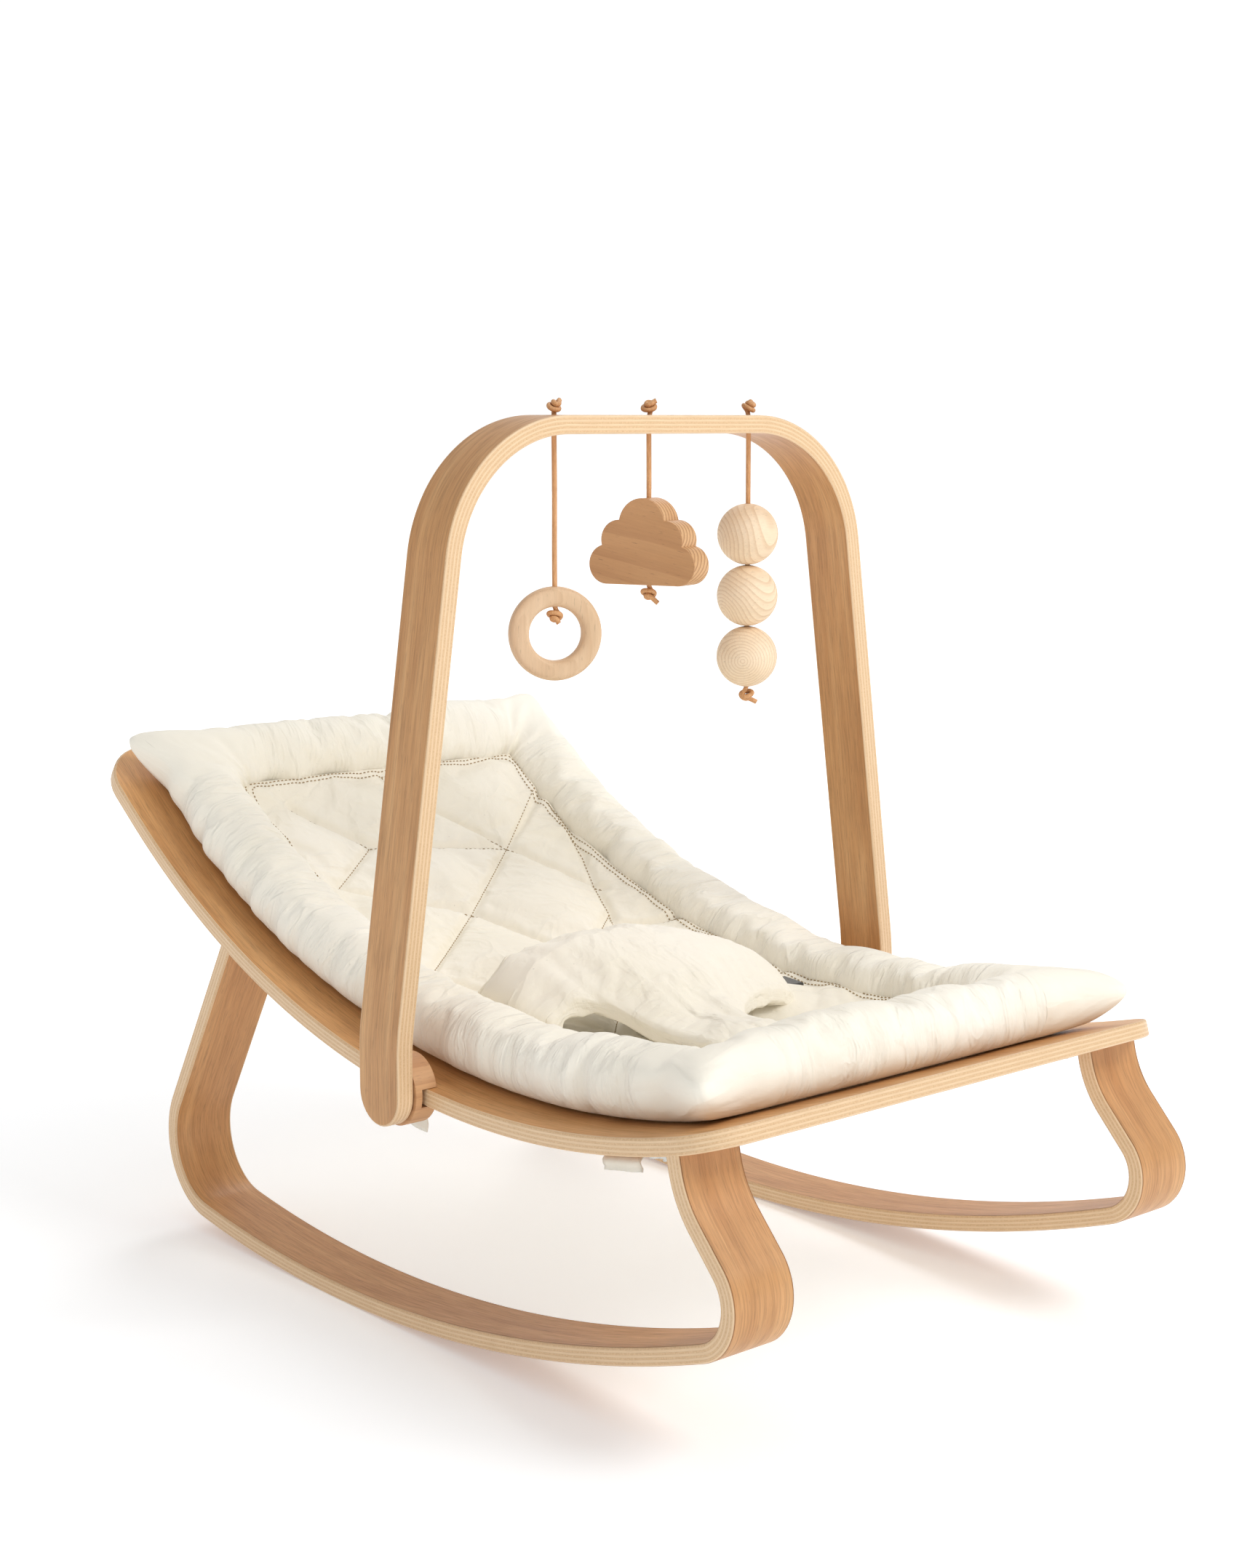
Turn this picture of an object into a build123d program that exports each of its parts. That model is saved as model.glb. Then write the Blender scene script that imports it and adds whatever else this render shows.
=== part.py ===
from build123d import *
import math
import os

# Baby rocker seat: one bent plywood seat panel on two bent plywood rockers, a
# quilted cushion with a stuffed border roll, a padded waist harness, and a
# removable plywood toy arch with three wooden toys on leather laces.
# Frame: +Z up, X across the seat, -Y the foot end, +Y the head end. Lengths in mm.
# Profiles are laid out with Y = 0 close to where the rockers touch the floor and
# are moved by DY, so that the origin is under the middle of the whole object.
DY = 39.7

# Seat panel
PLY = 11.0              # plywood thickness of panel and rockers
HALF_W = 201.4          # half width of the panel, flush with the rockers' outer edges
SEAT_R = 686.0          # radius of the panel's underside
SEAT_CY, SEAT_CZ = -156.2, 839.5   # centre of the seat's curve
FOOT_ANG = -17.96       # tangent angle at the foot edge, degrees
HEAD_ANG = 36.75        # tangent angle where the straight head part starts
HEAD_LEN = 65.0         # length of the straight head part
R_FOOT_CORNER, R_HEAD_CORNER = 32.0, 40.0
WIN_X, WIN_Y0, WIN_Y1, WIN_R = 136.0, -298.0, 232.0, 55.0   # window under the cushion

# Rockers
STRIP_W = 47.3          # strip width
ROCK_R = 1060.0         # radius of the rocking surface
ROCK_CY = 5.2           # Y of the rocking surface's centre
FRONT_R, REAR_R = 35.5, 54.6       # outer radii of the front and rear bends
FRONT_DIR, S_DIR, REAR_DIR = 47.0, 77.0, 120.4   # leg directions in the YZ plane
S_R = 60.5              # front face radius of the front leg's second bend
FRONT_LEN = 28.2        # straight length between the front bends

# Arch
ARCH_T, ARCH_W = 12.0, 41.9
ARCH_TOP = 580.0
ARCH_STRAIGHT = 82.0    # half length of the straight top
ARCH_R = 98.6           # outer shoulder radius
ARCH_LEAN = 8.05        # inward lean of the legs, degrees
ARCH_X = 221.8          # outer face of the legs at their lower ends
ARCH_R_LOW = 180.0      # radius of the small bend above the clamp blocks
ARCH_Y = -84.4          # mid plane of the arch
PIV_R = SEAT_R - PLY / 2
PIV_ANG = math.asin((ARCH_Y - SEAT_CY) / PIV_R)
PIV_Z = SEAT_CZ - PIV_R * math.cos(PIV_ANG)   # leg pivot, on the panel's mid surface

# Clamp blocks
BLOCK_R, BLOCK_IN, WASHER_T = 22.5, 192.5, 0.8
SLOT_BACK, SLOT_CLEAR = 204.3, 0.45
PIV_SCREW_R = 2.5

# Laces and toys
LACE_R, HOLE_R = 1.65, 2.2
RING_X, CLOUD_X, BEAD_X = -78.5, 1.5, 91.5
SWING_Z = ARCH_TOP - ARCH_T - 2.5
RING_D, RING_HOLE, RING_T = 60.5, 34.5, 12.0
RING_Z = 441.5
RING_TURN = -28.0       # turn of the ring's face about its lace
CLOUD_W, CLOUD_H, CLOUD_T = 80.0, 57.0, 20.0
CLOUD_BOTTOM = 469.3
CLOUD_TURN = -70.8
BEAD_D = 41.7
BEAD_Z = (499.8, 457.9, 416.0)

# Cushion
ROLL_OUT, ROLL_IN, ROLL_H = 178.0, 126.0, 45.0
QUILT_LO, QUILT_HI = -7.0, 16.0

parts = {}


def put(name, shape):
    solids = [s.moved(Location((0, DY, 0))) for s in shape.solids()]
    parts[name] = solids[0] if len(solids) == 1 else Compound(children=solids)


def arc_pts(cy, cz, r, a0, a1):
    """start, middle and end of an arc about (cy, cz); angles from -Z towards +Y."""
    out = []
    for a in (a0, (a0 + a1) / 2, a1):
        t = math.radians(a)
        out.append((cy + r * math.sin(t), cz - r * math.cos(t)))
    return out


def seat_slab(lo, hi, x0, x1, a0=None, a1=None, head=None):
    """A curved slab that follows the seat: lo and hi are heights over the panel's
    underside, a0 the tangent angle where it starts, and either a1 where it ends or
    head, its length along the straight head part."""
    a0 = FOOT_ANG if a0 is None else a0
    end = HEAD_ANG if head is not None else a1
    h = math.radians(HEAD_ANG)
    sides = []
    for off in (lo, hi):
        r = SEAT_R - off
        s, m, e = arc_pts(SEAT_CY, SEAT_CZ, r, a0, end)
        tip = None
        if head:
            tip = (e[0] + head * math.cos(h), e[1] + head * math.sin(h))
        sides.append((s, m, e, tip))
    (s0, m0, e0, t0), (s1, m1, e1, t1) = sides
    with BuildSketch(Plane.YZ.offset(x0)) as sk:
        with BuildLine():
            ThreePointArc(s0, m0, e0)
            if t0:
                Line(e0, t0)
                Line(t0, t1)
                Line(t1, e1)
            else:
                Line(e0, e1)
            ThreePointArc(e1, m1, s1)
            Line(s1, s0)
        make_face()
    return extrude(sk.sketch, amount=x1 - x0)


def walk(start, heading, segs, side):
    """Points of a strip's face, side mm to the left of its reference path. A segment is
    ('L', length) or ('A', radius, turn in degrees, positive to the left)."""
    y, z = start
    h = math.radians(heading)
    out = []
    def shifted():
        return (y - side * math.sin(h), z + side * math.cos(h))
    for s in segs:
        p0 = shifted()
        if s[0] == "L":
            y, z = y + s[1] * math.cos(h), z + s[1] * math.sin(h)
            out.append(("L", p0, shifted()))
        else:
            r, turn = s[1], math.radians(s[2])
            sign = 1 if turn > 0 else -1
            cy, cz = y - sign * r * math.sin(h), z + sign * r * math.cos(h)
            pts = []
            for part in (0.5, 1.0):
                hh = h + turn * part
                y, z = cy + sign * r * math.sin(hh), cz - sign * r * math.cos(hh)
                pts.append((y - side * math.sin(hh), z + side * math.cos(hh)))
            h = h + turn
            out.append(("A", p0, pts[0], pts[1]))
    return out


def strip(plane, start, heading, segs, a, b, width):
    """A bent strip of the given width, between offsets a and b from its path."""
    left, right = walk(start, heading, segs, a), walk(start, heading, segs, b)
    with BuildSketch(plane) as sk:
        with BuildLine():
            for side in (left, right):
                for e in side:
                    if e[0] == "L":
                        Line(e[1], e[2])
                    else:
                        ThreePointArc(e[1], e[2], e[3])
            Line(left[0][1], right[0][1])
            Line(left[-1][-1], right[-1][-1])
        make_face()
    return extrude(sk.sketch, amount=width)


def soften(shape, edges, radius):
    """Rounds the given edges, a little less if they don't take the full radius."""
    for r in (radius, radius * 0.6, radius * 0.35):
        try:
            out = fillet(edges, r)
            if out.is_valid and out.volume > 0:
                return out
        except Exception:
            continue
    return shape


# ---------------------------------------------------------------- seat panel
panel = seat_slab(0, PLY, -HALF_W, HALF_W, head=HEAD_LEN)
h = math.radians(HEAD_ANG)
foot = [e for e in panel.edges().filter_by(GeomType.LINE)
        if abs(e.length - PLY) < 0.2 and e.center().Y < -300]
panel = fillet(foot, R_FOOT_CORNER)
headc = [e for e in panel.edges().filter_by(GeomType.LINE)
         if abs(e.length - PLY) < 0.2 and e.center().Y > 290]
panel = fillet(headc, R_HEAD_CORNER)
with BuildSketch(Plane.XY) as win:
    with Locations((0, (WIN_Y0 + WIN_Y1) / 2)):
        RectangleRounded(2 * WIN_X, WIN_Y1 - WIN_Y0, WIN_R)
panel = panel - extrude(win.sketch, amount=500)
# pilot holes for the bracket screws are cut below, once their places are known

# ---------------------------------------------------------------- rockers
fa = 20.27                      # where the rocking arc meets the front bend
rear_a = math.degrees(math.asin((159.5 - ROCK_CY) / (ROCK_R - REAR_R)))
start = (ROCK_CY + ROCK_R * math.sin(math.radians(rear_a)),
         ROCK_R - ROCK_R * math.cos(math.radians(rear_a)))
# from the rear bend forwards along the floor, then up the front leg
fore = [("A", ROCK_R, -(rear_a + fa)), ("A", FRONT_R, -(180 - fa - FRONT_DIR)),
        ("L", FRONT_LEN), ("A", S_R, S_DIR - FRONT_DIR), ("L", 40.0)]
rear = [("A", REAR_R, REAR_DIR - rear_a), ("L", 160.0)]


def rocker(x0):
    plane = Plane.YZ.offset(x0)
    a = strip(plane, start, 180 + rear_a, fore, 0, -PLY, STRIP_W)
    b = strip(plane, start, rear_a, rear, 0, PLY, STRIP_W)
    return a, b


above = seat_slab(0, 120, -250, 250, a0=-24, head=HEAD_LEN + 40)
rockers = {}
for name, x0 in (("runner_right", -HALF_W), ("runner_left", HALF_W - STRIP_W)):
    a, b = rocker(x0)
    body = (a + b) - above
    body = max(body.solids(), key=lambda s: s.volume)
    rockers[name] = body

# ---------------------------------------------------------------- leg brackets and screws
BR_T, BR_W, BR_L = 2.5, 24.0, 27.0
SCREW_R, SCREW_HEAD_R = 1.9, 3.6


def seat_under(y):
    return SEAT_CZ - math.sqrt(SEAT_R ** 2 - (y - SEAT_CY) ** 2)


def corner_of(kind):
    """Where the head-side face of a leg meets the panel's underside, with the leg's
    downward direction and the panel's tangent towards the head."""
    if kind == "front":
        path = walk(start, 180 + rear_a, fore, -PLY)
        p, q = path[-1][1], path[-1][2]
    else:
        path = walk(start, rear_a, rear, 0)
        p, q = path[-1][1], path[-1][2]
    lo_t, hi_t = 0.0, 1.0
    f = lambda t: (p[1] + (q[1] - p[1]) * t) - seat_under(p[0] + (q[0] - p[0]) * t)
    for _ in range(60):
        mid = (lo_t + hi_t) / 2
        if f(mid) > 0:
            hi_t = mid
        else:
            lo_t = mid
    t = (lo_t + hi_t) / 2
    y, z = p[0] + (q[0] - p[0]) * t, p[1] + (q[1] - p[1]) * t
    leg = math.atan2(p[1] - q[1], p[0] - q[0])
    tan = math.asin((y + BR_L / 2 - SEAT_CY) / SEAT_R)
    return y, z, leg, tan


brackets, screws = [], []
for kind in ("front", "rear"):
    y, z, leg, tan = corner_of(kind)
    dl = (math.cos(leg), math.sin(leg))            # down the leg
    dt = (math.cos(tan), math.sin(tan))            # along the panel, towards the head
    out = (-dl[1], dl[0])                          # off the leg's head-side face
    if out[0] < 0:
        out = (dl[1], -dl[0])
    down = (dt[1], -dt[0])                         # off the panel's underside
    g = 0.45
    # inner corner of the bracket's outer faces
    oy, oz = y + out[0] * 0.05 + down[0] * g, z + out[1] * 0.05 + down[1] * g
    for x in (-HALF_W + STRIP_W / 2, HALF_W - STRIP_W / 2):
        poly = [(oy, oz), (oy + dt[0] * BR_L, oz + dt[1] * BR_L),
                (oy + dt[0] * BR_L + down[0] * BR_T, oz + dt[1] * BR_L + down[1] * BR_T),
                (oy + out[0] * BR_T + down[0] * BR_T, oz + out[1] * BR_T + down[1] * BR_T),
                (oy + out[0] * BR_T + dl[0] * BR_L, oz + out[1] * BR_T + dl[1] * BR_L),
                (oy + dl[0] * BR_L, oz + dl[1] * BR_L)]
        with BuildSketch(Plane.YZ.offset(x - BR_W / 2)) as sk:
            with BuildLine():
                Polyline(*poly, close=True)
            make_face()
        br = extrude(sk.sketch, amount=BR_W)
        for sx in (-6.5, 6.5):
            for base, n in ((dt, down), (dl, out)):
                cy_ = oy + base[0] * BR_L * 0.62 + n[0] * BR_T
                cz_ = oz + base[1] * BR_L * 0.62 + n[1] * BR_T
                pl = Plane(origin=(x + sx, cy_, cz_), z_dir=(0, -n[0], -n[1]))
                br = br - (pl * Pos(0, 0, -5) * Cylinder(SCREW_R + 0.3, 30))
                shank = pl * Pos(0, 0, 4.3) * Cylinder(SCREW_R, 8.6)
                head = pl * Pos(0, 0, -1.05) * Cylinder(SCREW_HEAD_R, 2.1)
                screws.append(shank + head)
        brackets.append(br)

for s in screws:
    panel = panel - s
    for n in rockers:
        rockers[n] = rockers[n] - s

panel = soften(panel, panel.faces().filter_by(lambda f: f.area > 50000).edges()
               .filter_by(lambda e: e.length > 20), 1.6)
put("seat_panel", panel)
for n in rockers:
    put(n, rockers[n])
put("leg_brackets", Compound(children=brackets))
put("bracket_screws", Compound(children=screws))

# ---------------------------------------------------------------- arch
lean = ARCH_LEAN
leg_segs = [("L", 30.0), ("A", ARCH_R_LOW, lean), ("L", None), ("A", ARCH_R, 90 - lean)]
# right half in the XZ plane, from the pivot up to the crown; the straight leg's length
# is what is left once the bends are laid out
la = math.radians(lean)
dx_bend = ARCH_R_LOW * (1 - math.cos(la))
dz_bend = ARCH_R_LOW * math.sin(la)
dx_sh = ARCH_R * (math.cos(la))                # from the leg's tangent point to the shoulder's centre
leg_dx = ARCH_X - dx_bend - (ARCH_STRAIGHT + ARCH_R * math.cos(la))
leg_len = leg_dx / math.sin(la)
low_len = (ARCH_TOP - ARCH_R + ARCH_R * math.sin(la)) - leg_len * math.cos(la) - dz_bend - PIV_Z
segs = [("L", low_len), ("A", ARCH_R_LOW, lean), ("L", leg_len), ("A", ARCH_R, 90 - lean),
        ("L", 2 * ARCH_STRAIGHT), ("A", ARCH_R, 90 - lean), ("L", leg_len),
        ("A", ARCH_R_LOW, lean), ("L", low_len)]
# XZ plane with its normal along -Y: sketch x = X, sketch y = Z
arch_plane = Plane(origin=(0, ARCH_Y + ARCH_W / 2, 0), x_dir=(1, 0, 0), z_dir=(0, -1, 0))
arch = strip(arch_plane, (ARCH_X, PIV_Z), 90, segs, 0, ARCH_T, ARCH_W)
end_r = ARCH_W / 2
for sx in (-1, 1):
    disc = Pos(sx * (ARCH_X - ARCH_T / 2), ARCH_Y, PIV_Z) * Rot(0, 90, 0) * Cylinder(end_r, ARCH_T)
    arch = arch + disc
arch = arch.solids()[0] if len(arch.solids()) == 1 else max(arch.solids(), key=lambda s: s.volume)
long_edges = [e for e in arch.edges()
              if abs(abs(e.center().Y - ARCH_Y) - ARCH_W / 2) < 0.01 and e.length > 8]
arch = soften(arch, long_edges, 1.5)
for x in (RING_X, CLOUD_X, BEAD_X):
    arch = arch - Pos(x, ARCH_Y, ARCH_TOP) * Cylinder(HOLE_R, 40)
leg_in = ARCH_X - ARCH_T
for sx in (-1, 1):   # threaded seats of the pivot screws, blind, from the inside
    arch = arch - Pos(sx * (leg_in + 4.5), ARCH_Y, PIV_Z) * Rot(0, 90, 0) * Cylinder(PIV_SCREW_R, 9.2)
put("arch_strip", arch)

# ---------------------------------------------------------------- clamp blocks
block_out = leg_in - WASHER_T
for name, sx in (("clamp_block_right", -1), ("clamp_block_left", 1)):
    xm = (block_out + BLOCK_IN) / 2
    blk = Pos(sx * xm, ARCH_Y, PIV_Z) * Rot(0, 90, 0) * Cylinder(BLOCK_R, block_out - BLOCK_IN)
    rim = [e for e in blk.edges().filter_by(GeomType.CIRCLE) if abs(abs(e.center().X) - BLOCK_IN) < 0.01]
    blk = soften(blk, rim, 1.2)
    lo, hi = sorted((sx * (BLOCK_IN - 1), sx * SLOT_BACK))
    slot = seat_slab(-SLOT_CLEAR, PLY + SLOT_CLEAR, lo, hi, a0=-6, a1=18)
    blk = blk - slot
    blk = blk - Pos(sx * xm, ARCH_Y, PIV_Z) * Rot(0, 90, 0) * Cylinder(PIV_SCREW_R + 0.3, 40)
    cone_plane = Plane(origin=(sx * SLOT_BACK, ARCH_Y, PIV_Z), z_dir=(sx, 0, 0))
    blk = blk - (cone_plane * Pos(0, 0, 1.25) * Cone(5.2, 2.8, 2.5))
    put(name, blk)
washers, pivots = [], []
for sx in (-1, 1):
    w = Cylinder(13.0, WASHER_T - 0.1) - Cylinder(PIV_SCREW_R + 0.3, 4)
    washers.append(Pos(sx * (block_out + WASHER_T / 2), ARCH_Y, PIV_Z) * Rot(0, 90, 0) * w)
    cone_plane = Plane(origin=(sx * SLOT_BACK, ARCH_Y, PIV_Z), z_dir=(sx, 0, 0))
    total = leg_in + 9.0 - SLOT_BACK
    scr = cone_plane * (Pos(0, 0, 1.35) * Cone(4.7, 2.5, 2.3) + Pos(0, 0, total / 2 + 0.5) * Cylinder(PIV_SCREW_R, total - 1.0))
    scr = scr - cone_plane * Pos(0, 0, 0.5) * Cylinder(1.6, 2.0)
    pivots.append(scr)
put("pivot_washers", Compound(children=washers))
put("pivot_screws", Compound(children=pivots))

# ---------------------------------------------------------------- laces and knots
def knot(x, y, z, r=4.4, up=True):
    """The outer shape of a tight overhand knot."""
    return (Pos(x, y, z) * Sphere(r)).solids()[0]


tops = []
for x in (RING_X, CLOUD_X, BEAD_X):
    stem = Pos(x, ARCH_Y, ARCH_TOP - ARCH_T / 2) * Cylinder(LACE_R, ARCH_T - 0.4)
    k = knot(x, ARCH_Y, ARCH_TOP + 4.2, r=4.4)
    low_cut = Pos(x, ARCH_Y, ARCH_TOP - 20 + 0.25) * Box(60, 60, 40)
    tops.append(((k - low_cut) + Pos(x, ARCH_Y, ARCH_TOP) * Cylinder(LACE_R, 3.0) + stem).solids()[0])
put("top_knots", Compound(children=tops))

STUB = 4.0


def lace(name, x, bottom):
    put(name + "_lace_top", Pos(x, ARCH_Y, SWING_Z - STUB / 2) * Cylinder(LACE_R, STUB))
    top = SWING_Z - STUB - 0.6
    put(name + "_lace", Pos(x, ARCH_Y, (top + bottom) / 2) * Cylinder(LACE_R, top - bottom))


# ring: a turned ring with a softened square section, hung from a radial hole
sec_r, sec_w = (RING_D - RING_HOLE) / 4, RING_T
with BuildSketch(Plane.XZ) as rs:
    with Locations(((RING_D + RING_HOLE) / 4, 0)):
        RectangleRounded((RING_D - RING_HOLE) / 2, RING_T, 4.6)
ring = revolve(rs.sketch, axis=Axis.Z)
ring = Rot(90, 0, 0) * ring                    # its axis along Y
ring = ring - Pos(0, 0, RING_D / 2) * Cylinder(HOLE_R, RING_D / 2)
put("toy_ring", Pos(RING_X, ARCH_Y, RING_Z) * Rot(0, 0, RING_TURN) * ring)
ring_in = RING_Z + RING_HOLE / 2
lace("ring", RING_X, ring_in - 0.6)
put("ring_knot", Pos(0, 0, 0) * knot(RING_X, ARCH_Y, ring_in - 5.2, r=4.4, up=False))

# cloud: a block cut to five round lobes on a flat base
with BuildSketch(Plane.XZ) as cs:
    with Locations((0, 13.1)):
        Rectangle(CLOUD_W - 26, 26)
    for cx, cz, r in ((0, 39.6, 17.4), (-17.6, 29.4, 13.2), (17.6, 29.4, 13.2),
                      (-27.0, 13.2, 13.0), (27.0, 13.2, 13.0)):
        with Locations((cx, cz)):
            Circle(r)
cloud = extrude(cs.sketch, amount=CLOUD_T / 2, both=True)
cloud = cloud - Pos(0, 0, CLOUD_H / 2) * Cylinder(HOLE_R, CLOUD_H + 10)
put("toy_cloud", Pos(CLOUD_X, ARCH_Y, CLOUD_BOTTOM) * Rot(0, 0, CLOUD_TURN) * cloud)
lace("cloud", CLOUD_X, CLOUD_BOTTOM - 0.6)
put("cloud_knot", knot(CLOUD_X, ARCH_Y, CLOUD_BOTTOM - 5.2, r=4.4, up=False))

# beads
for i, z in enumerate(BEAD_Z):
    b = Sphere(BEAD_D / 2) - Cylinder(HOLE_R, BEAD_D + 4)
    put("bead_%d" % (i + 1), Pos(BEAD_X, ARCH_Y, z) * b)
bead_low = BEAD_Z[2] - BEAD_D / 2
lace("bead", BEAD_X, bead_low - 0.4)
put("bead_knot", knot(BEAD_X, ARCH_Y, bead_low - 5.0, r=4.4, up=False))

# ---------------------------------------------------------------- cushion
A_FOOT = -15.6          # foot end of the border roll
HEAD_ROLL = 38.0        # the roll ends this far along the straight head part
lo, hi = PLY + 0.4, PLY + ROLL_H
near = seat_slab(lo, hi, -ROLL_OUT, -ROLL_IN, a0=A_FOOT, head=HEAD_ROLL)
far = seat_slab(lo, hi, ROLL_IN, ROLL_OUT, a0=A_FOOT, head=HEAD_ROLL)
foot_roll = seat_slab(lo, hi, -ROLL_IN, ROLL_IN, a0=A_FOOT, a1=A_FOOT + 4.5)
hr = math.radians(HEAD_ANG)
head_roll = seat_slab(lo, hi, -ROLL_IN, ROLL_IN, a0=HEAD_ANG - 1.3, head=HEAD_ROLL)
roll = near + far + foot_roll + head_roll
roll = roll.solids()[0]
ends = [e for e in roll.edges().filter_by(GeomType.LINE)
        if abs(e.length - (hi - lo)) < 0.5 and abs(abs(e.center().X) - ROLL_OUT) < 0.1]
roll = soften(roll, ends, 30.0)
put("cushion_roll", roll)
quilt = seat_slab(PLY + 0.4, PLY + QUILT_HI, -ROLL_IN + 0.5, ROLL_IN - 0.5,
                  a0=A_FOOT + 4.55, a1=HEAD_ANG - 1.35)
sag = seat_slab(PLY + QUILT_LO, PLY + 0.6, -ROLL_IN + 0.5, ROLL_IN - 0.5,
                a0=A_FOOT + 4.55, a1=HEAD_ANG - 1.35)
with BuildSketch(Plane.XY) as pan:
    with Locations((0, (WIN_Y0 + WIN_Y1) / 2)):
        RectangleRounded(2 * WIN_X - 4, WIN_Y1 - WIN_Y0 - 4, WIN_R - 2)
sag = sag & extrude(pan.sketch, amount=500)
quilt = (quilt + sag).solids()[0]
put("cushion_quilt", quilt)

# flaps that hold the cushion: they come through the window and close under the rails
foot_flap = seat_slab(-3.2, -0.4, -150, 128, a0=-17.7, a1=-12.6)
head_flap = seat_slab(-2.6, -0.4, -120, 120, a0=HEAD_ANG - 0.5, head=52.0)
tabs = []
for sx in (-1, 1):
    for a, w, hang in ((-11.6, 2.8, 9.0), (5.4, 2.8, 21.0), (15.8, 2.8, 0.0)):
        x0, x1 = sorted((sx * 140.0, sx * 190.3))
        under = seat_slab(-1.9, -0.4, x0, x1, a0=a, a1=a + w)
        ac = math.radians(a + w / 2)
        ymid = SEAT_CY + SEAT_R * math.sin(ac)
        zmid = SEAT_CZ - SEAT_R * math.cos(ac)
        wid = SEAT_R * math.radians(w)
        if hang:
            drop = Pos(sx * 189.5, ymid, zmid - 1.5 - hang / 2) * Rot(math.degrees(ac), 0, 0) * Box(1.6, wid - 1, hang)
            drop = drop - seat_slab(-0.4, 60, -260, 260, a0=-17, a1=34)
            under = (under + drop).solids()[0]
        tabs.append(under)
put("cushion_foot_flap", foot_flap)
put("cushion_head_flap", head_flap)
put("cushion_side_tabs", Compound(children=tabs))

# ---------------------------------------------------------------- waist harness
BELT_X, BELT_A, BELT_B = -13.5, 110.5, 47.5
BELT_Y0, BELT_Y1, BELT_Z = -132.0, -44.0, 190.4
with BuildSketch(Plane(origin=(0, BELT_Y1, 0), x_dir=(1, 0, 0), z_dir=(0, -1, 0))) as bs:
    with Locations((BELT_X, BELT_Z)):
        Ellipse(BELT_A, BELT_B)
        Ellipse(BELT_A - 26, BELT_B - 27, mode=Mode.SUBTRACT)
    with Locations((BELT_X, BELT_Z - 60)):
        Rectangle(400, 120, mode=Mode.SUBTRACT)
belt = extrude(bs.sketch, amount=BELT_Y1 - BELT_Y0)
with BuildSketch(Plane.YZ.offset(BELT_X - 36)) as ks:
    with BuildLine():
        Polyline((BELT_Y0 + 20, 236), (BELT_Y0 - 40, 226), (-244, 200), (-244, 188.6),
                 (-220, 188.6), (BELT_Y0 - 30, 202), (BELT_Y0 + 20, 210), close=True)
    make_face()
crotch = extrude(ks.sketch, amount=84)
pad = (belt + crotch).solids()[0]
put("harness_pad", pad)

# waist buckle at the pad's loose end
buckles = []
for sx, y in ((1, -112.0),):
    ang = math.degrees(math.asin((y - SEAT_CY) / (SEAT_R - PLY - QUILT_HI)))
    zt = SEAT_CZ - math.sqrt((SEAT_R - PLY - QUILT_HI) ** 2 - (y - SEAT_CY) ** 2)
    x_in = BELT_X + sx * BELT_A
    x_a, x_b = (x_in + sx * 2.0, sx * (ROLL_IN - 1.5))
    bx0, bx1 = sorted((x_a, x_a + sx * 15.0))
    bk = Pos((bx0 + bx1) / 2, y, zt + 4.6) * Rot(ang, 0, 0) * Box(bx1 - bx0, 20, 6.0)
    bk = soften(bk, bk.edges(), 1.5)
    buckles.append(bk)
put("waist_buckle", buckles[0])

os.makedirs("parts", exist_ok=True)
for name, shape in parts.items():
    export_step(shape, "parts/" + name + ".step")
print("nodes", len(parts), "pivot", (ARCH_Y + DY, PIV_Z), "angle", math.degrees(PIV_ANG))
print("arch leg: straight", round(leg_len, 1), "low", round(low_len, 1))
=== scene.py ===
import bpy, bmesh, math, random
import numpy as np
from mathutils import Vector, Matrix


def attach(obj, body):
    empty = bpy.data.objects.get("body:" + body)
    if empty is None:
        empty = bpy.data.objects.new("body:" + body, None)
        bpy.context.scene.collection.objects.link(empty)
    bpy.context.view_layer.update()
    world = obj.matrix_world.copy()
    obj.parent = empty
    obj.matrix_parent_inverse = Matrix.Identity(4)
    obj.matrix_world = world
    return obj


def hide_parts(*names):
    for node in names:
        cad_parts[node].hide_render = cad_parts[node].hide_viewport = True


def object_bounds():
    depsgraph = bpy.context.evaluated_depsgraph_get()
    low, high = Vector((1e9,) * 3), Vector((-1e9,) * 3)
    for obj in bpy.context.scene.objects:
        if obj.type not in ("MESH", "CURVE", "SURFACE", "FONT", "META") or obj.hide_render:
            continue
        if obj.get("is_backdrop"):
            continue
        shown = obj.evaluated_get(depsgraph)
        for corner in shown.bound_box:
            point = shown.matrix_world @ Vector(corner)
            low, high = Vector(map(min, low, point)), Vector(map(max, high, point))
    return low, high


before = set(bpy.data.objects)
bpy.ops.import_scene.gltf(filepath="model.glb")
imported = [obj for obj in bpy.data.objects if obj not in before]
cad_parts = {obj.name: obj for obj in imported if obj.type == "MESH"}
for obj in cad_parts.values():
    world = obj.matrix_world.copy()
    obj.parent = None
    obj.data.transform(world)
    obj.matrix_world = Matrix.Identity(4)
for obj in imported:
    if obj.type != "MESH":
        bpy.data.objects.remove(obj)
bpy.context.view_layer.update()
random.seed(7)
RNG = np.random.default_rng(7)

MM = 0.001
DY = 39.7
PLY = 11.0
HALF_W = 201.4
SEAT_R, SEAT_CY, SEAT_CZ = 686.0, -156.2, 839.5
FOOT_ANG, HEAD_ANG, HEAD_LEN = -17.96, 36.75, 65.0
ARC_LEN = SEAT_R * math.radians(HEAD_ANG - FOOT_ANG)
ARCH_Y = -84.4
PIV_Z = 162.8
COL = bpy.context.scene.collection

# ------------------------------------------------------------------ helpers

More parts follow.
